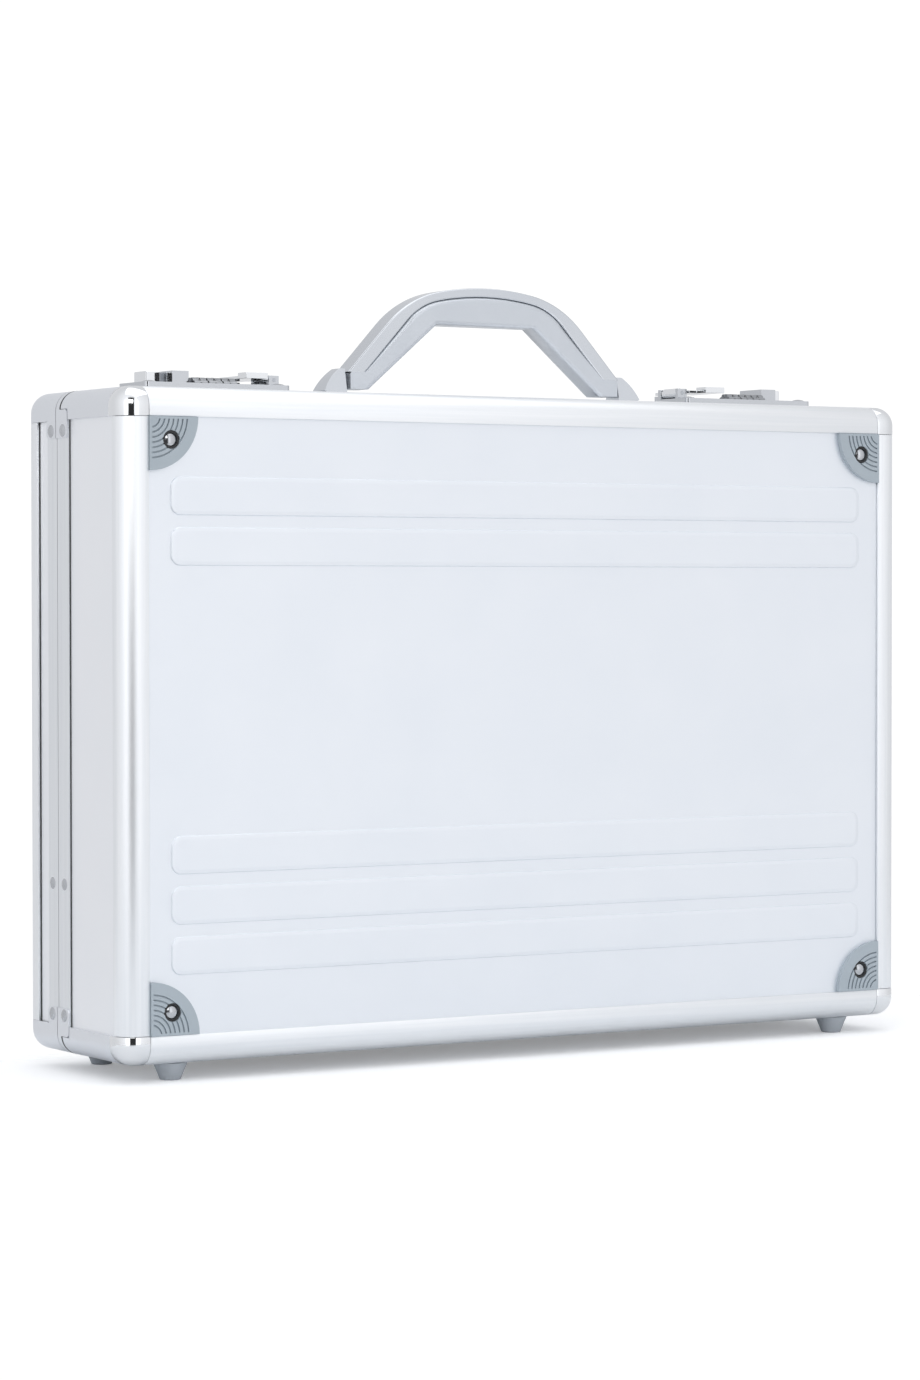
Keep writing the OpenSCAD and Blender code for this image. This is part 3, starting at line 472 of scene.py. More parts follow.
class Finishes:
    """Every finish of the case, built once."""

    def __init__(self) -> None:
        """Build all materials."""
        # Anodised aluminium sheet, rolled and satin: a soft cool white sheen, near white under
        # soft light.
        satin = (0.48, 0.03, 0.35, 0.0012, 45.0)
        self.sheet = Metal(
            "anodised_aluminium_sheet", "F0F3F7", "EBEFF4", *satin, Run.ALONG_X
        ).build()
        # The same sheet on the side walls, where its lines run upwards, painted paler than on the
        # faces: painted light that brightens the walls.
        self.wall = Metal(
            "anodised_aluminium_wall_painted_paler", "FBFCFE", "F6F8FB", *satin, Run.ALONG_Z
        ).build()
        # Drawn and anodised aluminium extrusion: brighter than the sheet, with faint streaks
        # along its length.
        drawn = (0.42, 0.03, 0.25, 0.0008, 60.0)
        bright = ("FCFDFE", "EBEEF1", *drawn)
        self.drawn_x = Metal("drawn_aluminium_along_x", *bright, Run.ALONG_X, 2.2).build()
        self.drawn_z = Metal("drawn_aluminium_along_z", *bright, Run.ALONG_Z, 2.2).build()
        # The rims beside the seam are drawn in the same way, and a little darker.
        self.rim = Metal(
            "drawn_aluminium_rim", "F3F5F7", "E4E7EA", *drawn, Run.ALONG_Z, 2.2
        ).build()
        # Brown fibreboard under the sheet, hot pressed: dull and fibrous, seen only at a cut edge.
        self.board = Moulded("pressed_fibreboard", "9A8468", "7F6A50", 0.85, 1.5, 0.05).build()
        # Chrome plate on pressed steel: mirror bright, so it shows the dark and pale parts of
        # a room.
        self.chrome = Metal(
            "polished_chrome_plate", "F3F4F5", "ECEEF0", 0.07, 0.02, 1.5, 0.0004
        ).build()
        # Satin nickel plate: a soft grey sheen without sharp reflections.
        self.nickel = Metal(
            "satin_nickel_plate", "ECEEF2", "E6E9ED", 0.36, 0.03, 0.4, 0.001
        ).build()
        # Turned and tumbled steel rivets: bright with tiny dents.
        self.rivet = Metal(
            "tumbled_rivet_steel", "CFD1D4", "B4B7BB", 0.2, 0.06, 0.8, 0.01, 6.0
        ).build()
        # Moulded ABS, blue grey, with a fine sparked grain.
        self.bumper = Moulded("moulded_grey_abs", "B0BAC1", "A6B1B9", 0.42).build()
        # Moulded rubber, dull and slightly dusty.
        self.rubber = Moulded(
            "moulded_grey_rubber", "B2B7BD", "A6ACB2", 0.62, 0.9, 0.02, 1.52
        ).build()
        # Silver-painted moulded grip: metal flake in a satin lacquer.
        self.grip = Moulded(
            "silver_painted_grip", "D3D7DC", "CACFD5", 0.34, 0.5, 0.004, 1.5, 0.75, 0.25
        ).build()
        # Die-cast zinc, polished and plated: smooth, bright grey.
        self.cast = Metal("plated_zinc_casting", "D8DBDF", "CFD3D8", 0.16, 0.04, 1.2, 0.003).build()
        # Nickel-plated lock parts: bright, slightly soft reflections.
        self.lock = Metal(
            "nickel_plated_lock_steel", "D5D7DA", "C9CCD0", 0.16, 0.05, 0.8, 0.003
        ).build()
        # Nickel-plated brass dials: a bright plate painted greyer, with much darker patches of
        # painted shade that stand in for the shade in the knurled grooves.
        self.dial = Metal(
            "nickel_plated_dial_brass", "B4B6B9", "7D8084", 0.22, 0.06, 0.6, 0.012, 2.0
        ).build()
        # Ground steel pins and hinge: plain grey steel.
        self.steel = Metal("ground_hinge_steel", "C6C9CD", "B5B9BE", 0.3, 0.05, 0.4, 0.006).build()
        # Painted shadow: nearly black and matt, on strips and rings that stand in for the shade in
        # the case's gaps and around the bumper rivets, so it draws the dark lines of the case.
        self.seal = Moulded(
            "black_painted_shadow", "2B2C2E", "232426", 0.6, 0.8, 0.01, 1.52
        ).build()
        # Baked black enamel in the digits of the wheels: small, dark and slightly glossy.
        self.enamel = Moulded("black_dial_enamel", "1E1F21", "18191A", 0.35, 0.4, 0.002).build()
        # Foam-backed polyester lining, plain woven: matt grey with a soft sheen and painted
        # shade between its threads.
        self.cloth = Woven("woven_polyester_lining", "6E7379", "50555B").build()


# ---------------------------------------------------------------- the studio


@dataclass
class Studio:
    """The floor, the lights and the camera.

    Attributes:
        eye: Where the camera stands.
        turn_degrees: The camera's angle away from straight ahead.
        tilt_degrees: How far the camera looks down.
        lens_mm: The lens for a 36 mm long side.
        floor_radius: Radius of the pale floor.
        floor_fade: Distances from the middle between which the floor fades out.
        floor_back: Distances behind the seam between which it fades out.
        floor_glow: How much light the floor seems to give, as seen by the camera alone.
        key_way: Where the sky is brightest.
        sky_levels: Strength of the sky on its darkest and brightest side.
        door_way: Where the doorway is.
        door_border: Share of the way aside at which the doorway turns into a screen.
        screen_border: Share of the way aside, and of the way ahead, at which a screen ends.
        door_level: How bright the dark doorway is, as a share of the sky there.
        screen_level: How bright the screens beside it are, as a share of the sky there.
        lights: The soft boxes made so far.
    """

    eye: Triple = (-1.0695, -1.7336, 0.2326)
    turn_degrees: float = -31.41
    tilt_degrees: float = 1.38
    lens_mm: float = 103.66
    floor_radius: float = 0.7
    floor_fade: Pair = (0.3, 0.62)
    floor_back: Pair = (0.055, 0.11)
    floor_glow: float = 0.22
    key_way: Triple = (-0.40, -0.86, 0.35)
    sky_levels: Pair = (0.75, 1.17)
    door_way: Triple = (-0.407, -0.914, 0.0)
    door_border: Pair = (0.25, 0.32)
    screen_border: Pair = (0.55, 0.75)
    door_level: float = 0.03
    screen_level: float = 1.3
    lights: list[Object] = field(default_factory=list)

    def place_camera(self) -> None:
        """Make the camera and set it as the scene's camera."""
        data = bpy.data.cameras.new("view_camera")
        data.lens = self.lens_mm
        data.sensor_width = 36.0
        data.clip_end = 50.0
        camera = bpy.data.objects.new("view_camera", data)
        camera.location = self.eye
        camera.rotation_euler = (
            math.radians(90 - self.tilt_degrees),
            math.radians(0.039),
            math.radians(self.turn_degrees),
        )
        bpy.context.scene.collection.objects.link(camera)
        bpy.context.scene.camera = camera

    def build_sky(self) -> None:
        """Make the soft surroundings: brightest on the camera's side, greyer on the far side."""
        world = bpy.data.worlds.new("soft_studio")
        bpy.context.scene.world = world
        world.use_nodes = True
        tree = world.node_tree
        tree.nodes.clear()
        way = add_node(tree, "TexCoord").outputs["Generated"]
        dot = {"operation": "DOT_PRODUCT"}
        key_way = Vector(self.key_way).normalized()
        facing = add_node(tree, "VectorMath", dot, {0: way, 1: key_way}).outputs["Value"]
        share = add_node(
            tree, "MapRange", inputs={"Value": facing, "From Min": -0.5, "From Max": 1.0}
        ).outputs["Result"]
        lobe = add_node(tree, "Math", {"operation": "POWER"}, {0: share, 1: 1.8}).outputs["Value"]
        low, high = self.sky_levels
        level = add_node(
            tree, "MapRange", inputs={"Value": lobe, "To Min": low, "To Max": high}
        ).outputs["Result"]
        # A tall dark doorway beside the camera, between two brighter screens, gives polished
        # metal something to reflect. Satin metal sees the three together and stays bright.
        door_way = Vector(self.door_way).normalized()
        beside = Vector((-door_way.y, door_way.x, 0.0))
        ahead = add_node(tree, "VectorMath", dot, {0: way, 1: door_way}).outputs["Value"]
        aside = add_node(tree, "VectorMath", dot, {0: way, 1: beside}).outputs["Value"]
        off = add_node(tree, "Math", {"operation": "ABSOLUTE"}, {0: aside}).outputs["Value"]
        levels = (self.door_level - 1.0, self.screen_level - 1.0)
        screens, border, reach = (
            add_node(tree, "MapRange", SMOOTH, ramp(*fade)).outputs["Result"]
            for fade in (
                (off, self.door_border, levels),
                (off, self.screen_border, (1.0, 0.0)),
                (ahead, self.screen_border, (0.0, 1.0)),
            )
        )
        both = add_node(tree, "Math", TIMES, {0: screens, 1: border}).outputs["Value"]
        opened = add_node(
            tree, "Math", {"operation": "MULTIPLY_ADD"}, {0: both, 1: reach, 2: 1.0}
        ).outputs["Value"]
        strength = add_node(tree, "Math", TIMES, {0: level, 1: opened}).outputs["Value"]
        soft = add_node(
            tree, "Background", inputs={"Color": linear("FBFCFF"), "Strength": strength}
        ).outputs["Background"]
        plain = add_node(
            tree, "Background", inputs={"Color": (1, 1, 1, 1), "Strength": 1.05}
        ).outputs["Background"]
        ray = add_node(tree, "LightPath").outputs["Is Camera Ray"]
        mixed = add_node(tree, "MixShader", inputs={0: ray, 1: soft, 2: plain}).outputs["Shader"]
        add_node(tree, "OutputWorld", inputs={"Surface": mixed})

    def add_light(self, name: str, at: Triple, to: Triple, size: Pair, watts: float) -> None:
        """Add one soft box.

        Args:
            name: The light's name.
            at: Its place.
            to: The point that it looks at.
            size: Its width and height in metres.
            watts: Its power.
        """
        data = bpy.data.lights.new(name, "AREA")
        data.shape = "RECTANGLE"
        data.size, data.size_y = size
        data.energy = watts
        light = bpy.data.objects.new(name, data)
        light.location = at
        light.rotation_euler = (Vector(to) - Vector(at)).to_track_quat("-Z", "Y").to_euler()
        bpy.context.scene.collection.objects.link(light)
        self.lights.append(light)

    def build_floor(self) -> None:
        """Make a pale floor that fades out at its border."""
        deselect_all()
        bpy.ops.mesh.primitive_circle_add(
            vertices=96, radius=self.floor_radius, fill_type="NGON", location=(0, 0, 0)
        )
        floor = bpy.context.object
        floor.name = "studio_floor"
        material, tree, shader, place = start_material("painted_studio_floor", Roughness=0.8)
        shader.inputs["Emission Color"].default_value = (1, 1, 1, 1)
        # It looks white itself, but throws back less light than white paint, so that the
        # underside of the case stays in shade.
        seen = add_node(tree, "LightPath").outputs["Is Camera Ray"]
        paint = add_node(
            tree,
            "Mix",
            {"data_type": "RGBA"},
            {"Factor": seen, "A": linear("EEF0F2"), "B": linear("F4F5F6")},
        )
        glow = add_node(tree, "Math", TIMES, {0: seen, 1: self.floor_glow})
        away = add_node(tree, "VectorMath", {"operation": "LENGTH"}, {0: place}).outputs["Value"]
        fade_out = ramp(away, self.floor_fade, (1.0, 0.0))
        fade = add_node(tree, "MapRange", SMOOTH, fade_out).outputs["Result"]
        # Behind the case the floor fades out soon, so that it doesn't hide the lowered lid.
        depth = add_node(tree, "SeparateXYZ", inputs={"Vector": place}).outputs["Y"]
        fade_back = ramp(depth, self.floor_back, (1.0, 0.0))
        behind = add_node(tree, "MapRange", SMOOTH, fade_back).outputs["Result"]
        link_shader(
            tree,
            shader,
            Base_Color=paint.outputs["Result"],
            Emission_Strength=glow.outputs["Value"],
            Alpha=add_node(tree, "Math", TIMES, {0: fade, 1: behind}).outputs["Value"],
        )
        floor.data.materials.append(material)

    def build(self) -> None:
        """Make the whole studio."""
        self.place_camera()
        self.build_sky()
        self.build_floor()
        self.add_light("key_box", (-1.3, -2.2, 1.5), (0, 0, 0.2), (1.2, 1.0), 10)
        self.add_light("top_box", (0.1, -0.1, 1.7), (0, 0, 0), (1.6, 1.6), 5)
        scene = bpy.context.scene
        scene.view_settings.view_transform = "Standard"
        scene.view_settings.look = "None"
        LOG.info("studio: floor, sky, %d soft boxes and camera", len(self.lights))


# ------------------------------------------------------------- shaping helpers


def pick(obj: Object, kind: str, test: Test) -> None:
    """Enter edit mode with some of an object's parts selected.

    Args:
        obj: The object, with its place in its mesh.
        kind: "EDGE" or "FACE".
        test: Takes an edge's two ends, or a face's centre and normal, in metres.
    """
    make_active(obj)
    bpy.ops.object.mode_set(mode="EDIT")
    bpy.ops.mesh.select_mode(type=kind)
    bpy.ops.mesh.select_all(action="DESELECT")
    shape = bmesh.from_edit_mesh(obj.data)
    for part in shape.edges if kind == "EDGE" else shape.faces:
        if kind == "EDGE":
            chosen = test(part.verts[0].co, part.verts[1].co)
        else:
            chosen = test(part.calc_center_median(), part.normal)
        if chosen:
            part.select_set(True)
    shape.select_flush_mode()
    bmesh.update_edit_mesh(obj.data)


def bevel_edges(obj: Object, test: Test, radius: float, steps: int) -> None:
    """Round some of an object's edges.

    Args:
        obj: The object.
        test: Takes an edge's two ends.
        radius: Radius of the rounding.
        steps: Segments across the rounding.
    """
    pick(obj, "EDGE", test)
    bpy.ops.mesh.bevel(offset=radius, segments=steps, affect="EDGES", profile=0.5)
    leave_edit()


def delete_faces(obj: Object, test: Test) -> None:
    """Delete some of an object's faces.

    Args:
        obj: The object.
        test: Takes a face's centre and normal.
    """
    pick(obj, "FACE", test)
    bpy.ops.mesh.delete(type="FACE")
    leave_edit()


def cut(obj: Object, axis: int, place: float) -> None:
    """Cut an object's faces in two along a plane, and keep both sides.

    Args:
        obj: The object.
        axis: The axis that the plane is square to, 0, 1 or 2.
        place: Where the plane crosses that axis.
    """
    normal = Vector([float(i == axis) for i in range(3)])
    edit_all(obj)
    bpy.ops.mesh.bisect(plane_co=normal * place, plane_no=normal)
    leave_edit()


def block(name: str, low: Vector, high: Vector) -> Object:
    """Add a block between two corners as the start of a piece.

    Args:
        name: The piece's name.
        low: Its lowest corner.
        high: Its highest corner.

    Returns:
        The block, with its place in its mesh.
    """
    deselect_all()
    bpy.ops.mesh.primitive_cube_add(size=1.0, location=(low + high) / 2, scale=high - low)
    obj = bpy.context.object
    obj.name = name
    bake_place(obj)
    return obj


def refined(node: str, width: float, steps: int = 2) -> Object:
    """Copy a CAD node, join its triangles into faces and round its sharp edges.

    Args:
        node: The CAD node's name.
        width: Width of the rounding in metres, or 0 for none.
        steps: Segments across the rounding.

    Returns:
        The copy, which rides on nothing yet.
    """
    make_active(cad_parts[node])
    bpy.ops.object.duplicate(linked=False)
    copy = bpy.context.object
    copy.parent = None
    for key in list(copy.keys()):
        del copy[key]
    copy.name = f"{node}_finished"
    edit_all(copy)
    bpy.ops.mesh.remove_doubles(threshold=2 * SAME)
    bpy.ops.mesh.select_all(action="DESELECT")
    bpy.ops.mesh.select_interior_faces()
    bpy.ops.mesh.delete(type="FACE")
    bpy.ops.mesh.select_all(action="SELECT")
    bpy.ops.mesh.dissolve_limited(angle_limit=math.radians(0.3))
    leave_edit()
    if width > 0:
        round_sharp(copy, width, steps, SHARP)
    smooth_faces(copy)
    return copy


# ------------------------------------------------------------------ the case


@dataclass(frozen=True)
class Outline:
    """The outer planes of the closed case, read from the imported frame."""

    x_half: float
    z_low: float
    z_high: float
    y_front: float
    y_back: float

    @classmethod
    def from_frame(cls) -> "Outline":
        """Read the planes from the CAD nodes' boxes."""
        left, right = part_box("base_edge_left"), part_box("base_edge_right")
        top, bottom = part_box("base_edge_top"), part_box("base_edge_bottom")
        return cls(
            x_half=right[1].x,
            z_low=bottom[0].z,
            z_high=top[1].z,
            y_front=left[0].y,
            y_back=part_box("lid_edges")[1].y,
        )


@dataclass
class EdgeFrames:
    """The drawn aluminium angles along the edges of both faces.

    Attributes:
        finishes: The finishes.
        outline: The case's outer planes.
        radius: Radius of the rounded outer edge.
        face_leg: Width on the face.
        base_leg: Width on the base's sides.
        lid_leg: Width on the lid's sides.
        wall: Thickness of the angle.
        lip: Width of the rounding along its other edges.
        cap: Length that a corner cap takes at each end.
    """

    finishes: Finishes
    outline: Outline
    radius: float = 10 * MM
    face_leg: float = 14.4 * MM
    base_leg: float = 10.6 * MM
    lid_leg: float = 14.4 * MM
    wall: float = 1.55 * MM
    lip: float = 0.3 * MM
    cap: float = 14.62 * MM

    def angle(self, name: str, low: Vector, high: Vector, outer: Vector, run: int) -> Object:
        """Model one angle: a block, its outer edge rounded, opened behind and given a wall.

        Args:
            name: The piece's name.
            low: The block's lowest corner.
            high: The block's highest corner.
            outer: A corner of the block on its outer edge.
            run: The axis that the angle runs along, 0, 1 or 2.

        Returns:
            The angle.
        """
        obj = block(name, low, high)
        across = [axis for axis in range(3) if axis != run]

        def on_edge(a: Vector, b: Vector) -> bool:
            return all(abs(a[i] - outer[i]) + abs(b[i] - outer[i]) < SAME for i in across)

        def behind(centre: Vector, normal: Vector) -> bool:
            return abs(normal[run]) > 0.9 or any(
                abs(normal[i]) > 0.99 and abs(centre[i] - outer[i]) > 2 * self.wall for i in across
            )

        bevel_edges(obj, on_edge, self.radius, 18)
        delete_faces(obj, behind)
        apply_modifier(obj, "SOLIDIFY", thickness=self.wall, offset=-1.0, use_even_offset=True)
        round_sharp(obj, self.lip)
        tidy_mesh(obj, 35)
        return obj

    def build(self) -> None:
        """Model the four angles of each face and dress them."""
        o = self.outline
        for half, y_face, y_in in (
            ("base", o.y_front, o.y_front + self.base_leg),
            ("lid", o.y_back, o.y_back - self.lid_leg),
        ):
            y_low, y_high = min(y_face, y_in), max(y_face, y_in)
            for side, sign in (("left", -1), ("right", 1)):
                x_out, x_in = sign * o.x_half, sign * (o.x_half - self.face_leg)
                obj = self.angle(
                    f"{half}_angle_{side}",
                    Vector((min(x_out, x_in), y_low, o.z_low + self.cap)),
                    Vector((max(x_out, x_in), y_high, o.z_high - self.cap)),
                    Vector((x_out, y_face, 0)),
                    2,
                )
                replaced = (f"base_edge_{side}",) if half == "base" else ()
                finish_piece(obj, self.finishes.drawn_z, half, replaced)
            for side, z_out, sign in (("bottom", o.z_low, 1), ("top", o.z_high, -1)):
                z_in = z_out + sign * self.face_leg
                obj = self.angle(
                    f"{half}_angle_{side}",
                    Vector((-o.x_half + self.cap, y_low, min(z_out, z_in))),
                    Vector((o.x_half - self.cap, y_high, max(z_out, z_in))),
                    Vector((0, y_face, z_out)),
                    0,
                )
                replaced = (f"base_edge_{side}",) if half == "base" else ("lid_edges",)
                finish_piece(obj, self.finishes.drawn_x, half, replaced)


@dataclass
class CornerCaps:
    """The chrome ball corners of the base's face.

    Attributes:
        finishes: The finishes.
        outline: The case's outer planes.
        size: Length of a cap along each edge.
        radius: Radius of its rounding.
        wall: Its thickness.
        lip: Width of the rounding along its borders.
    """

    finishes: Finishes
    outline: Outline
    size: float = 14.5 * MM
    radius: float = 9.8 * MM
    wall: float = 1.4 * MM
    lip: float = 0.25 * MM

    def build(self) -> None:
        """Model one cap at each corner of the face and dress it."""
        o = self.outline
        pieces = []
        for sx in (-1, 1):
            for z_out, sz in ((o.z_low, -1), (o.z_high, 1)):
                tip = Vector((sx * o.x_half, o.y_front, z_out))
                far = tip + Vector((-sx, 1, -sz)) * self.size
                low = Vector([min(tip[i], far[i]) for i in range(3)])
                high = Vector([max(tip[i], far[i]) for i in range(3)])
                obj = block("base_ball_corners", low, high)
                bevel_edges(
                    obj,
                    lambda a, b, t=tip: min((a - t).length, (b - t).length) < NEAR,
                    self.radius,
                    14,
                )
                delete_faces(
                    obj,
                    lambda c, n, f=far: any(
                        abs(c[i] - f[i]) < NEAR and abs(n[i]) > 0.9 for i in range(3)
                    ),
                )
                apply_modifier(obj, "SOLIDIFY", thickness=self.wall, offset=-1.0)
                round_sharp(obj, self.lip)
                tidy_mesh(obj, 35)
                pieces.append(obj)
        caps = join_pieces(pieces)
        finish_piece(caps, self.finishes.chrome, "base", ("base_corner_caps",))


@dataclass
class Seals:
    """The black rubber lines between the lid's angle and its side strip, and beside the base rim.

    Attributes:
        finishes: The finishes.
        outline: The case's outer planes.
        bend: Radius of the case's corners.
        corner: How far the painted shadow in a gap reaches from a corner of the case.
        groove: How far a line lies below the case's outer planes.
        root: How deep a line reaches below them.
        line_from: Where a line starts, as a distance from the part in front of it.
        line_to: Where it ends.
        band: Width of the rim's band at a corner.
    """

    finishes: Finishes
    outline: Outline
    bend: float = 10 * MM
    corner: float = 9.2 * MM
    groove: float = 1.3 * MM
    root: float = 1.7 * MM
    line_from: float = 0.5 * MM
    line_to: float = 0.05 * MM
    band: float = 4.2 * MM

    def ring(
        self,
        name: str,
        body: str,
        y_low: float,
        y_high: float,
        depth: float,
        sink: float,
        corners_only: bool = False,
    ) -> None:
        """Model painted shadow around the case: a block opened at both faces, its corners rounded.

        Args:
            name: The piece's name.
            body: The body that it rides on.
            y_low: Its border nearer the front.
            y_high: Its border nearer the back.
            depth: How far it lies below the case's outer planes.
            sink: How deep it reaches below the outer planes.
            corners_only: Keep only its four corner bends.
        """
        o = self.outline
        obj = block(
            name,
            Vector((-o.x_half + depth, y_low, o.z_low + depth)),
            Vector((o.x_half - depth, y_high, o.z_high - depth)),
        )
        bend = self.bend - depth
        bevel_edges(obj, lambda a, b: abs(a.x - b.x) + abs(a.z - b.z) < SAME, bend, 14)
        delete_faces(obj, lambda c, n: abs(n.y) > 0.9)
        if corners_only:
            self.keep_corners(obj)
        apply_modifier(obj, "SOLIDIFY", thickness=sink - depth, offset=-1.0, use_even_offset=True)
        tidy_mesh(obj, 40)
        finish_piece(obj, self.finishes.seal, body)

    def keep_corners(self, obj: Object) -> None:
        """Cut a ring down to its four corner bends."""
        o = self.outline
        x_cut = o.x_half - self.corner
        z_cuts = (o.z_low + self.corner, o.z_high - self.corner)
        for axis, place in ((0, x_cut), (0, -x_cut), (2, z_cuts[0]), (2, z_cuts[1])):
            cut(obj, axis, place)
        delete_faces(obj, lambda c, n: abs(c.x) < x_cut or z_cuts[0] < c.z < z_cuts[1])

    def build(self) -> None:
        """Model both lines of painted shadow and the bends of it that fill the gap at the corners.
        """
        lid_angle = self.outline.y_back - EdgeFrames.lid_leg
        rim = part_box("base_rim")[0].y
        for half, place in (("lid", lid_angle), ("base", rim)):
            low, high = place - self.line_from, place - self.line_to
            self.ring(f"{half}_painted_shadow_line", half, low, high, self.groove, self.root)
        # The bends stand a little proud of the case, and reach a little under both neighbours.
        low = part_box("base_corner_rails")[1].y - 0.45 * MM
        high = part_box("base_rim_corners")[1].y - self.band + 0.3 * MM
        self.ring("base_corner_painted_shadow_gap", "base", low, high, -0.04 * MM, 0.5 * MM, True)


@dataclass
class Shell:
    """The sheets, boards, rims and corner guards of both halves.

    Attributes:
        finishes: The finishes.
        washer_radius: Radius of the black ring of painted shade under a bumper rivet.
        washer_hole: Radius of its hole.
        washer_t: Its thickness.
        washer_sink: How far its middle lies below the bumper's face.
        rivet_head: Radius of a bumper rivet's head.
        bar_slope: Width of the slope around a pressed bar.
        bar_slope_rise: How much of a bar's height its slope takes.
        bar_foot: Width of the rounding along the slope's borders.
    """

    finishes: Finishes
    washer_radius: float = 4.3 * MM
    washer_hole: float = 3.3 * MM
    washer_t: float = 0.5 * MM
    washer_sink: float = 0.85 * MM
    rivet_head: float = 3.7 * MM
    bar_slope: float = 1.8 * MM
    bar_slope_rise: float = 0.25 * MM
    bar_foot: float = 0.3 * MM

    def build(self) -> None:
        """Dress what keeps its CAD shape, and round the edges of what is handled."""
        f = self.finishes
        sides = ("top", "bottom", "left", "right")
        # The side walls take the sheet painted paler, as painted light.
        dress_nodes(f.wall, *(f"base_wall_{side}" for side in sides), "lid_walls")
        dress_nodes(f.board, "base_face_core", "lid_face_core")
        for half in ("base", "lid"):
            node = f"{half}_face_panel"
            panel = refined(node, 0.0)
            self.slope_bars(panel, node, -1 if half == "base" else 1)
            finish_piece(panel, f.sheet, half, (node,))
        rounded = (
            (f.rim, 0.2, "frame_aluminium", "base_rim", "lid_rim"),
            (f.nickel, 0.3, "satin_nickel", "base_corner_rails", "base_rim_corners"),
            (f.nickel, 0.3, "satin_nickel", "lid_corner_caps"),
            (f.bumper, 0.22, "bumper_plastic", "base_bumpers", "lid_bumpers"),
            (f.rivet, 0.3, "rivet_steel", "base_bumper_rivets"),
            (f.rivet, 0.15, "rivet_steel", "base_rim_rivets", "lid_rivets", "mounting_rivets"),
            (f.rivet, 0.15, "rivet_steel", "stay_base_rivets"),
            (f.rubber, 0.9, "foot_rubber", "base_feet", "lid_feet"),
        )
        for material, width, slot, *nodes in rounded:
            for node in nodes:
                body = "lid" if node.startswith("lid") else "base"
                finish_piece(refined(node, width * MM), material, body, (node,))
        # Black rings of painted shade under the bumper rivets.
        self.washers("base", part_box("base_bumpers")[0].y, 1)
        self.washers("lid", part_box("lid_bumpers")[1].y, -1)

    def slope_bars(self, panel: Object, node: str, out: int) -> None:
        """Give the pressed bars of a panel the soft slopes of pressed sheet.

        Args:
            panel: The panel, whose bars have straight sides.
            node: The CAD node that it copies.
            out: 1 if its bars stand out towards the back, -1 if towards the front.
        """
        low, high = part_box(node)
        crown = high.y if out > 0 else low.y
        pick(panel, "FACE", lambda c, n: abs(c.y - crown) < NEAR and n.y * out > 0.9)
        bpy.ops.transform.translate(value=(0, -out * self.bar_slope_rise, 0))
        bpy.ops.mesh.inset(thickness=self.bar_slope)
        bpy.ops.transform.translate(value=(0, out * self.bar_slope_rise, 0))
        leave_edit()
        round_sharp(panel, self.bar_foot, 3, 10)
        smooth_faces(panel)

    def washers(self, half: str, y_face: float, inward: int) -> None:
        """Model a ring of painted shade under each bumper rivet: a disc, inset, opened and rounded.

        Args:
            half: "base" or "lid".
            y_face: Where the bumpers' faces lie.
            inward: 1 if the case is behind that face, -1 if it is in front.
        """
        low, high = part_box("base_bumper_rivets")
        made = []
        for x in (low.x + self.rivet_head, high.x - self.rivet_head):
            for z in (low.z + self.rivet_head, high.z - self.rivet_head):
                deselect_all()
                bpy.ops.mesh.primitive_cylinder_add(
                    vertices=40,
                    radius=self.washer_radius,
                    depth=self.washer_t,
                    location=(x, y_face + inward * self.washer_sink, z),
                    rotation=(math.radians(90), 0, 0),
                )
                obj = bpy.context.object
                obj.name = f"{half}_bumper_shadow_rings"
                bake_place(obj)
                pick(obj, "FACE", lambda c, n: abs(n.y) > 0.9)
                bpy.ops.mesh.inset(thickness=self.washer_radius - self.washer_hole)
                bpy.ops.mesh.bridge_edge_loops()
                leave_edit()
                round_sharp(obj, 0.12 * MM)
                tidy_mesh(obj, 40)
                made.append(obj)
        finish_piece(join_pieces(made), self.finishes.seal, half)


@dataclass
class Lining:
    """The foam-backed cloth that lines each half.

    Attributes:
        finishes: The finishes.
        thickness: Thickness of the cloth and its foam.
        corner: Radius where two sides of the lining meet.
        floor_corner: Radius where a side meets the floor.
        cuts: Number of strips that the cloth is cut into each way, to keep it even when it is
            subdivided.
    """

    finishes: Finishes
    thickness: float = 1.35 * MM
    corner: float = 4 * MM
    floor_corner: float = 2.4 * MM
    cuts: int = 9

    def half(self, half: str, open_side: int) -> None:
        """Model one half's lining as an open tray with soft corners.

        Args:
            half: "base" or "lid".
            open_side: 1 if it opens towards the back, -1 if towards the front.
        """
        node = f"{half}_lining"
        low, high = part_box(node)
        obj = block(f"{half}_cloth_lining", low, high)
        delete_faces(obj, lambda c, n: n.y * open_side > 0.9)
        bevel_edges(obj, lambda a, b: abs(a.x - b.x) + abs(a.z - b.z) < SAME, self.corner, 4)
        y_floor = low.y if open_side > 0 else high.y
        bevel_edges(
            obj, lambda a, b: abs(a.y - y_floor) + abs(b.y - y_floor) < SAME, self.floor_corner, 3
        )
        edit_all(obj)
        bpy.ops.mesh.normals_make_consistent(inside=False)
        leave_edit()
        for step in range(1, self.cuts):
            for axis in (0, 2):
                cut(obj, axis, low[axis] + (high[axis] - low[axis]) * step / self.cuts)
        apply_modifier(obj, "SOLIDIFY", thickness=self.thickness, offset=-1.0)
        apply_modifier(obj, "SUBSURF", levels=1, render_levels=1, subdivision_type="CATMULL_CLARK")
        tidy_mesh(obj, 60)
        finish_piece(obj, self.finishes.cloth, half, (node,))

    def build(self) -> None:
        """Model both linings."""
        self.half("base", 1)
        self.half("lid", -1)


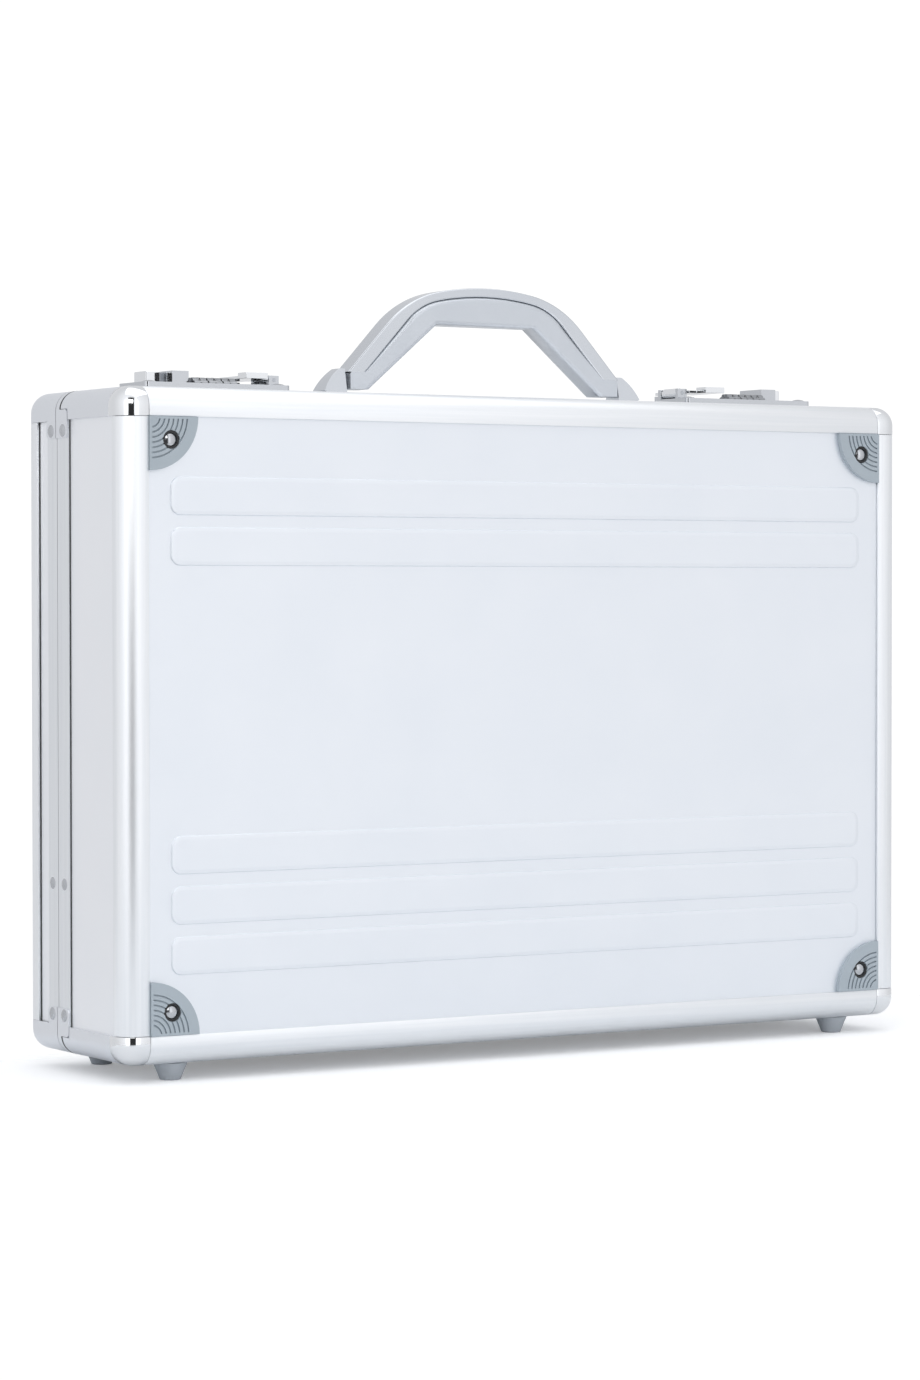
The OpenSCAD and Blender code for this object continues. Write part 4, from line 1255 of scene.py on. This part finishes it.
@dataclass
class Handle:
    """The folding handle: polished frame, soft moulded grip and its brackets.

    Attributes:
        finishes: The finishes.
        foot_from: Distance from the middle at which the handle's square feet begin.
    """

    finishes: Finishes
    foot_from: float = 68 * MM

    def build(self) -> None:
        """Round and dress the parts of the handle."""
        f = self.finishes
        for node, material, width, steps, slot in (
            ("handle_frame", f.cast, 0.8, 4, "handle_metal"),
            ("handle_grip", f.grip, 2.4, 6, "grip_plastic"),
        ):
            piece = refined(node, 0.0)
            self.soften_outline(piece, node, width * MM, steps)
            finish_piece(piece, material, "handle", (node,))
        for node in ("handle_bracket_left", "handle_bracket_right"):
            finish_piece(refined(node, 0.35 * MM, 3), f.cast, "base", (node,))
        dress_nodes(f.steel, "handle_pins")

    def soften_outline(self, piece: Object, node: str, width: float, steps: int) -> None:
        """Round the front and back outlines of an arched piece, but not its pin bores.

        Args:
            piece: The arched piece.
            node: The CAD node that it copies.
            width: Width of the rounding in metres.
            steps: Segments across the rounding.
        """
        low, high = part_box(node)
        pick(
            piece,
            "EDGE",
            lambda a, b: min(abs(a.x), abs(b.x)) < self.foot_from
            and any(abs(a.y - y) + abs(b.y - y) < NEAR for y in (low.y, high.y)),
        )
        bpy.ops.mesh.bevel(
            offset=width, segments=steps, affect="EDGES", profile=0.5, clamp_overlap=False
        )
        bpy.ops.mesh.select_all(action="SELECT")
        bpy.ops.mesh.remove_doubles(threshold=NEAR)
        bpy.ops.mesh.quads_convert_to_tris(ngon_method="BEAUTY")
        leave_edit()
        smooth_faces(piece)


@dataclass
class Locks:
    """The two combination locks with their number wheels.

    Attributes:
        finishes: The finishes.
        digit_height: Height of a digit on a wheel.
        digit_t: How far a digit stands out either way.
        digit_sink: How far its middle lies below the wheel's rim.
    """

    finishes: Finishes
    digit_height: float = 3.4 * MM
    digit_t: float = 0.05 * MM
    digit_sink: float = 0.02 * MM

    def digits(self, centre: Vector, radius: float) -> Object:
        """Model the ten digits around one wheel.

        Args:
            centre: Middle of the wheel.
            radius: Radius that the digits stand on.

        Returns:
            One mesh with all ten digits.
        """
        made = []
        for number in range(10):
            deselect_all()
            bpy.ops.object.text_add(location=(0, 0, 0))
            text = bpy.context.object.data
            text.body = str(number)
            text.size = self.digit_height
            text.align_x = text.align_y = "CENTER"
            text.extrude = self.digit_t
            text.resolution_u = 3
            bpy.ops.object.convert(target="MESH")
            digit = bpy.context.object
            turn = Matrix.Rotation(math.tau * number / 10, 4, "X")
            digit.data.transform(
                Matrix.Translation(centre) @ turn @ Matrix.Translation((0, 0, radius))
            )
            made.append(digit)
        return join_pieces(made)

    def wheel(self, side: str, number: int) -> None:
        """Round one wheel's edges and add its digits.

        Args:
            side: "left" or "right".
            number: 1, 2 or 3.
        """
        node = f"dial_{side}_{number}"
        low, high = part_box(node)
        centre = (low + high) / 2
        radius = (high.z - low.z) / 2
        finish_piece(refined(node, 0.25 * MM), self.finishes.dial, node, (node,))
        digits = self.digits(centre, radius - self.digit_sink)
        digits.name = f"{node}_digits"
        finish_piece(digits, self.finishes.enamel, node)

    def build(self) -> None:
        """Round and dress the lock parts and make the wheels."""
        f = self.finishes
        for side in ("left", "right"):
            for node, material, width, body, slot in (
                (f"lock_plate_{side}", f.lock, 0.3, "base", "lock_nickel"),
                (f"lock_case_{side}", f.lock, 0.2, "base", "lock_nickel"),
                (f"lock_button_{side}", f.chrome, 0.6, f"button_{side}", "lock_chrome"),
                (f"lock_hasp_{side}", f.chrome, 0.4, f"hasp_{side}", "lock_chrome"),
            ):
                finish_piece(refined(node, width * MM, 3), material, body, (node,))
            for number in (1, 2, 3):
                self.wheel(side, number)
        dress_nodes(f.lock, "lock_strikes")
        dress_nodes(f.steel, "hasp_pins", "dial_shafts")


@dataclass
class HingeAndStays:
    """The piano hinge under the case and the folding stays inside it."""

    finishes: Finishes

    def build(self) -> None:
        """Round and dress the links, and dress the hinge."""
        f = self.finishes
        for side in ("left", "right"):
            for link in ("lower", "upper"):
                node = f"stay_{link}_{side}"
                finish_piece(refined(node, 0.25 * MM), f.steel, node, (node,))
        dress_nodes(f.steel, "hinge_base_leaf", "hinge_lid_leaf", "hinge_pin")


def main() -> None:
    """Build the studio and the case in order."""
    logging.basicConfig(level=logging.INFO, format="%(name)s: %(message)s")
    Studio().build()
    finishes = Finishes()
    outline = Outline.from_frame()
    EdgeFrames(finishes, outline).build()
    CornerCaps(finishes, outline).build()
    Seals(finishes, outline).build()
    Shell(finishes).build()
    Lining(finishes).build()
    Handle(finishes).build()
    Locks(finishes).build()
    HingeAndStays(finishes).build()


if __name__ == "__main__":
    main()
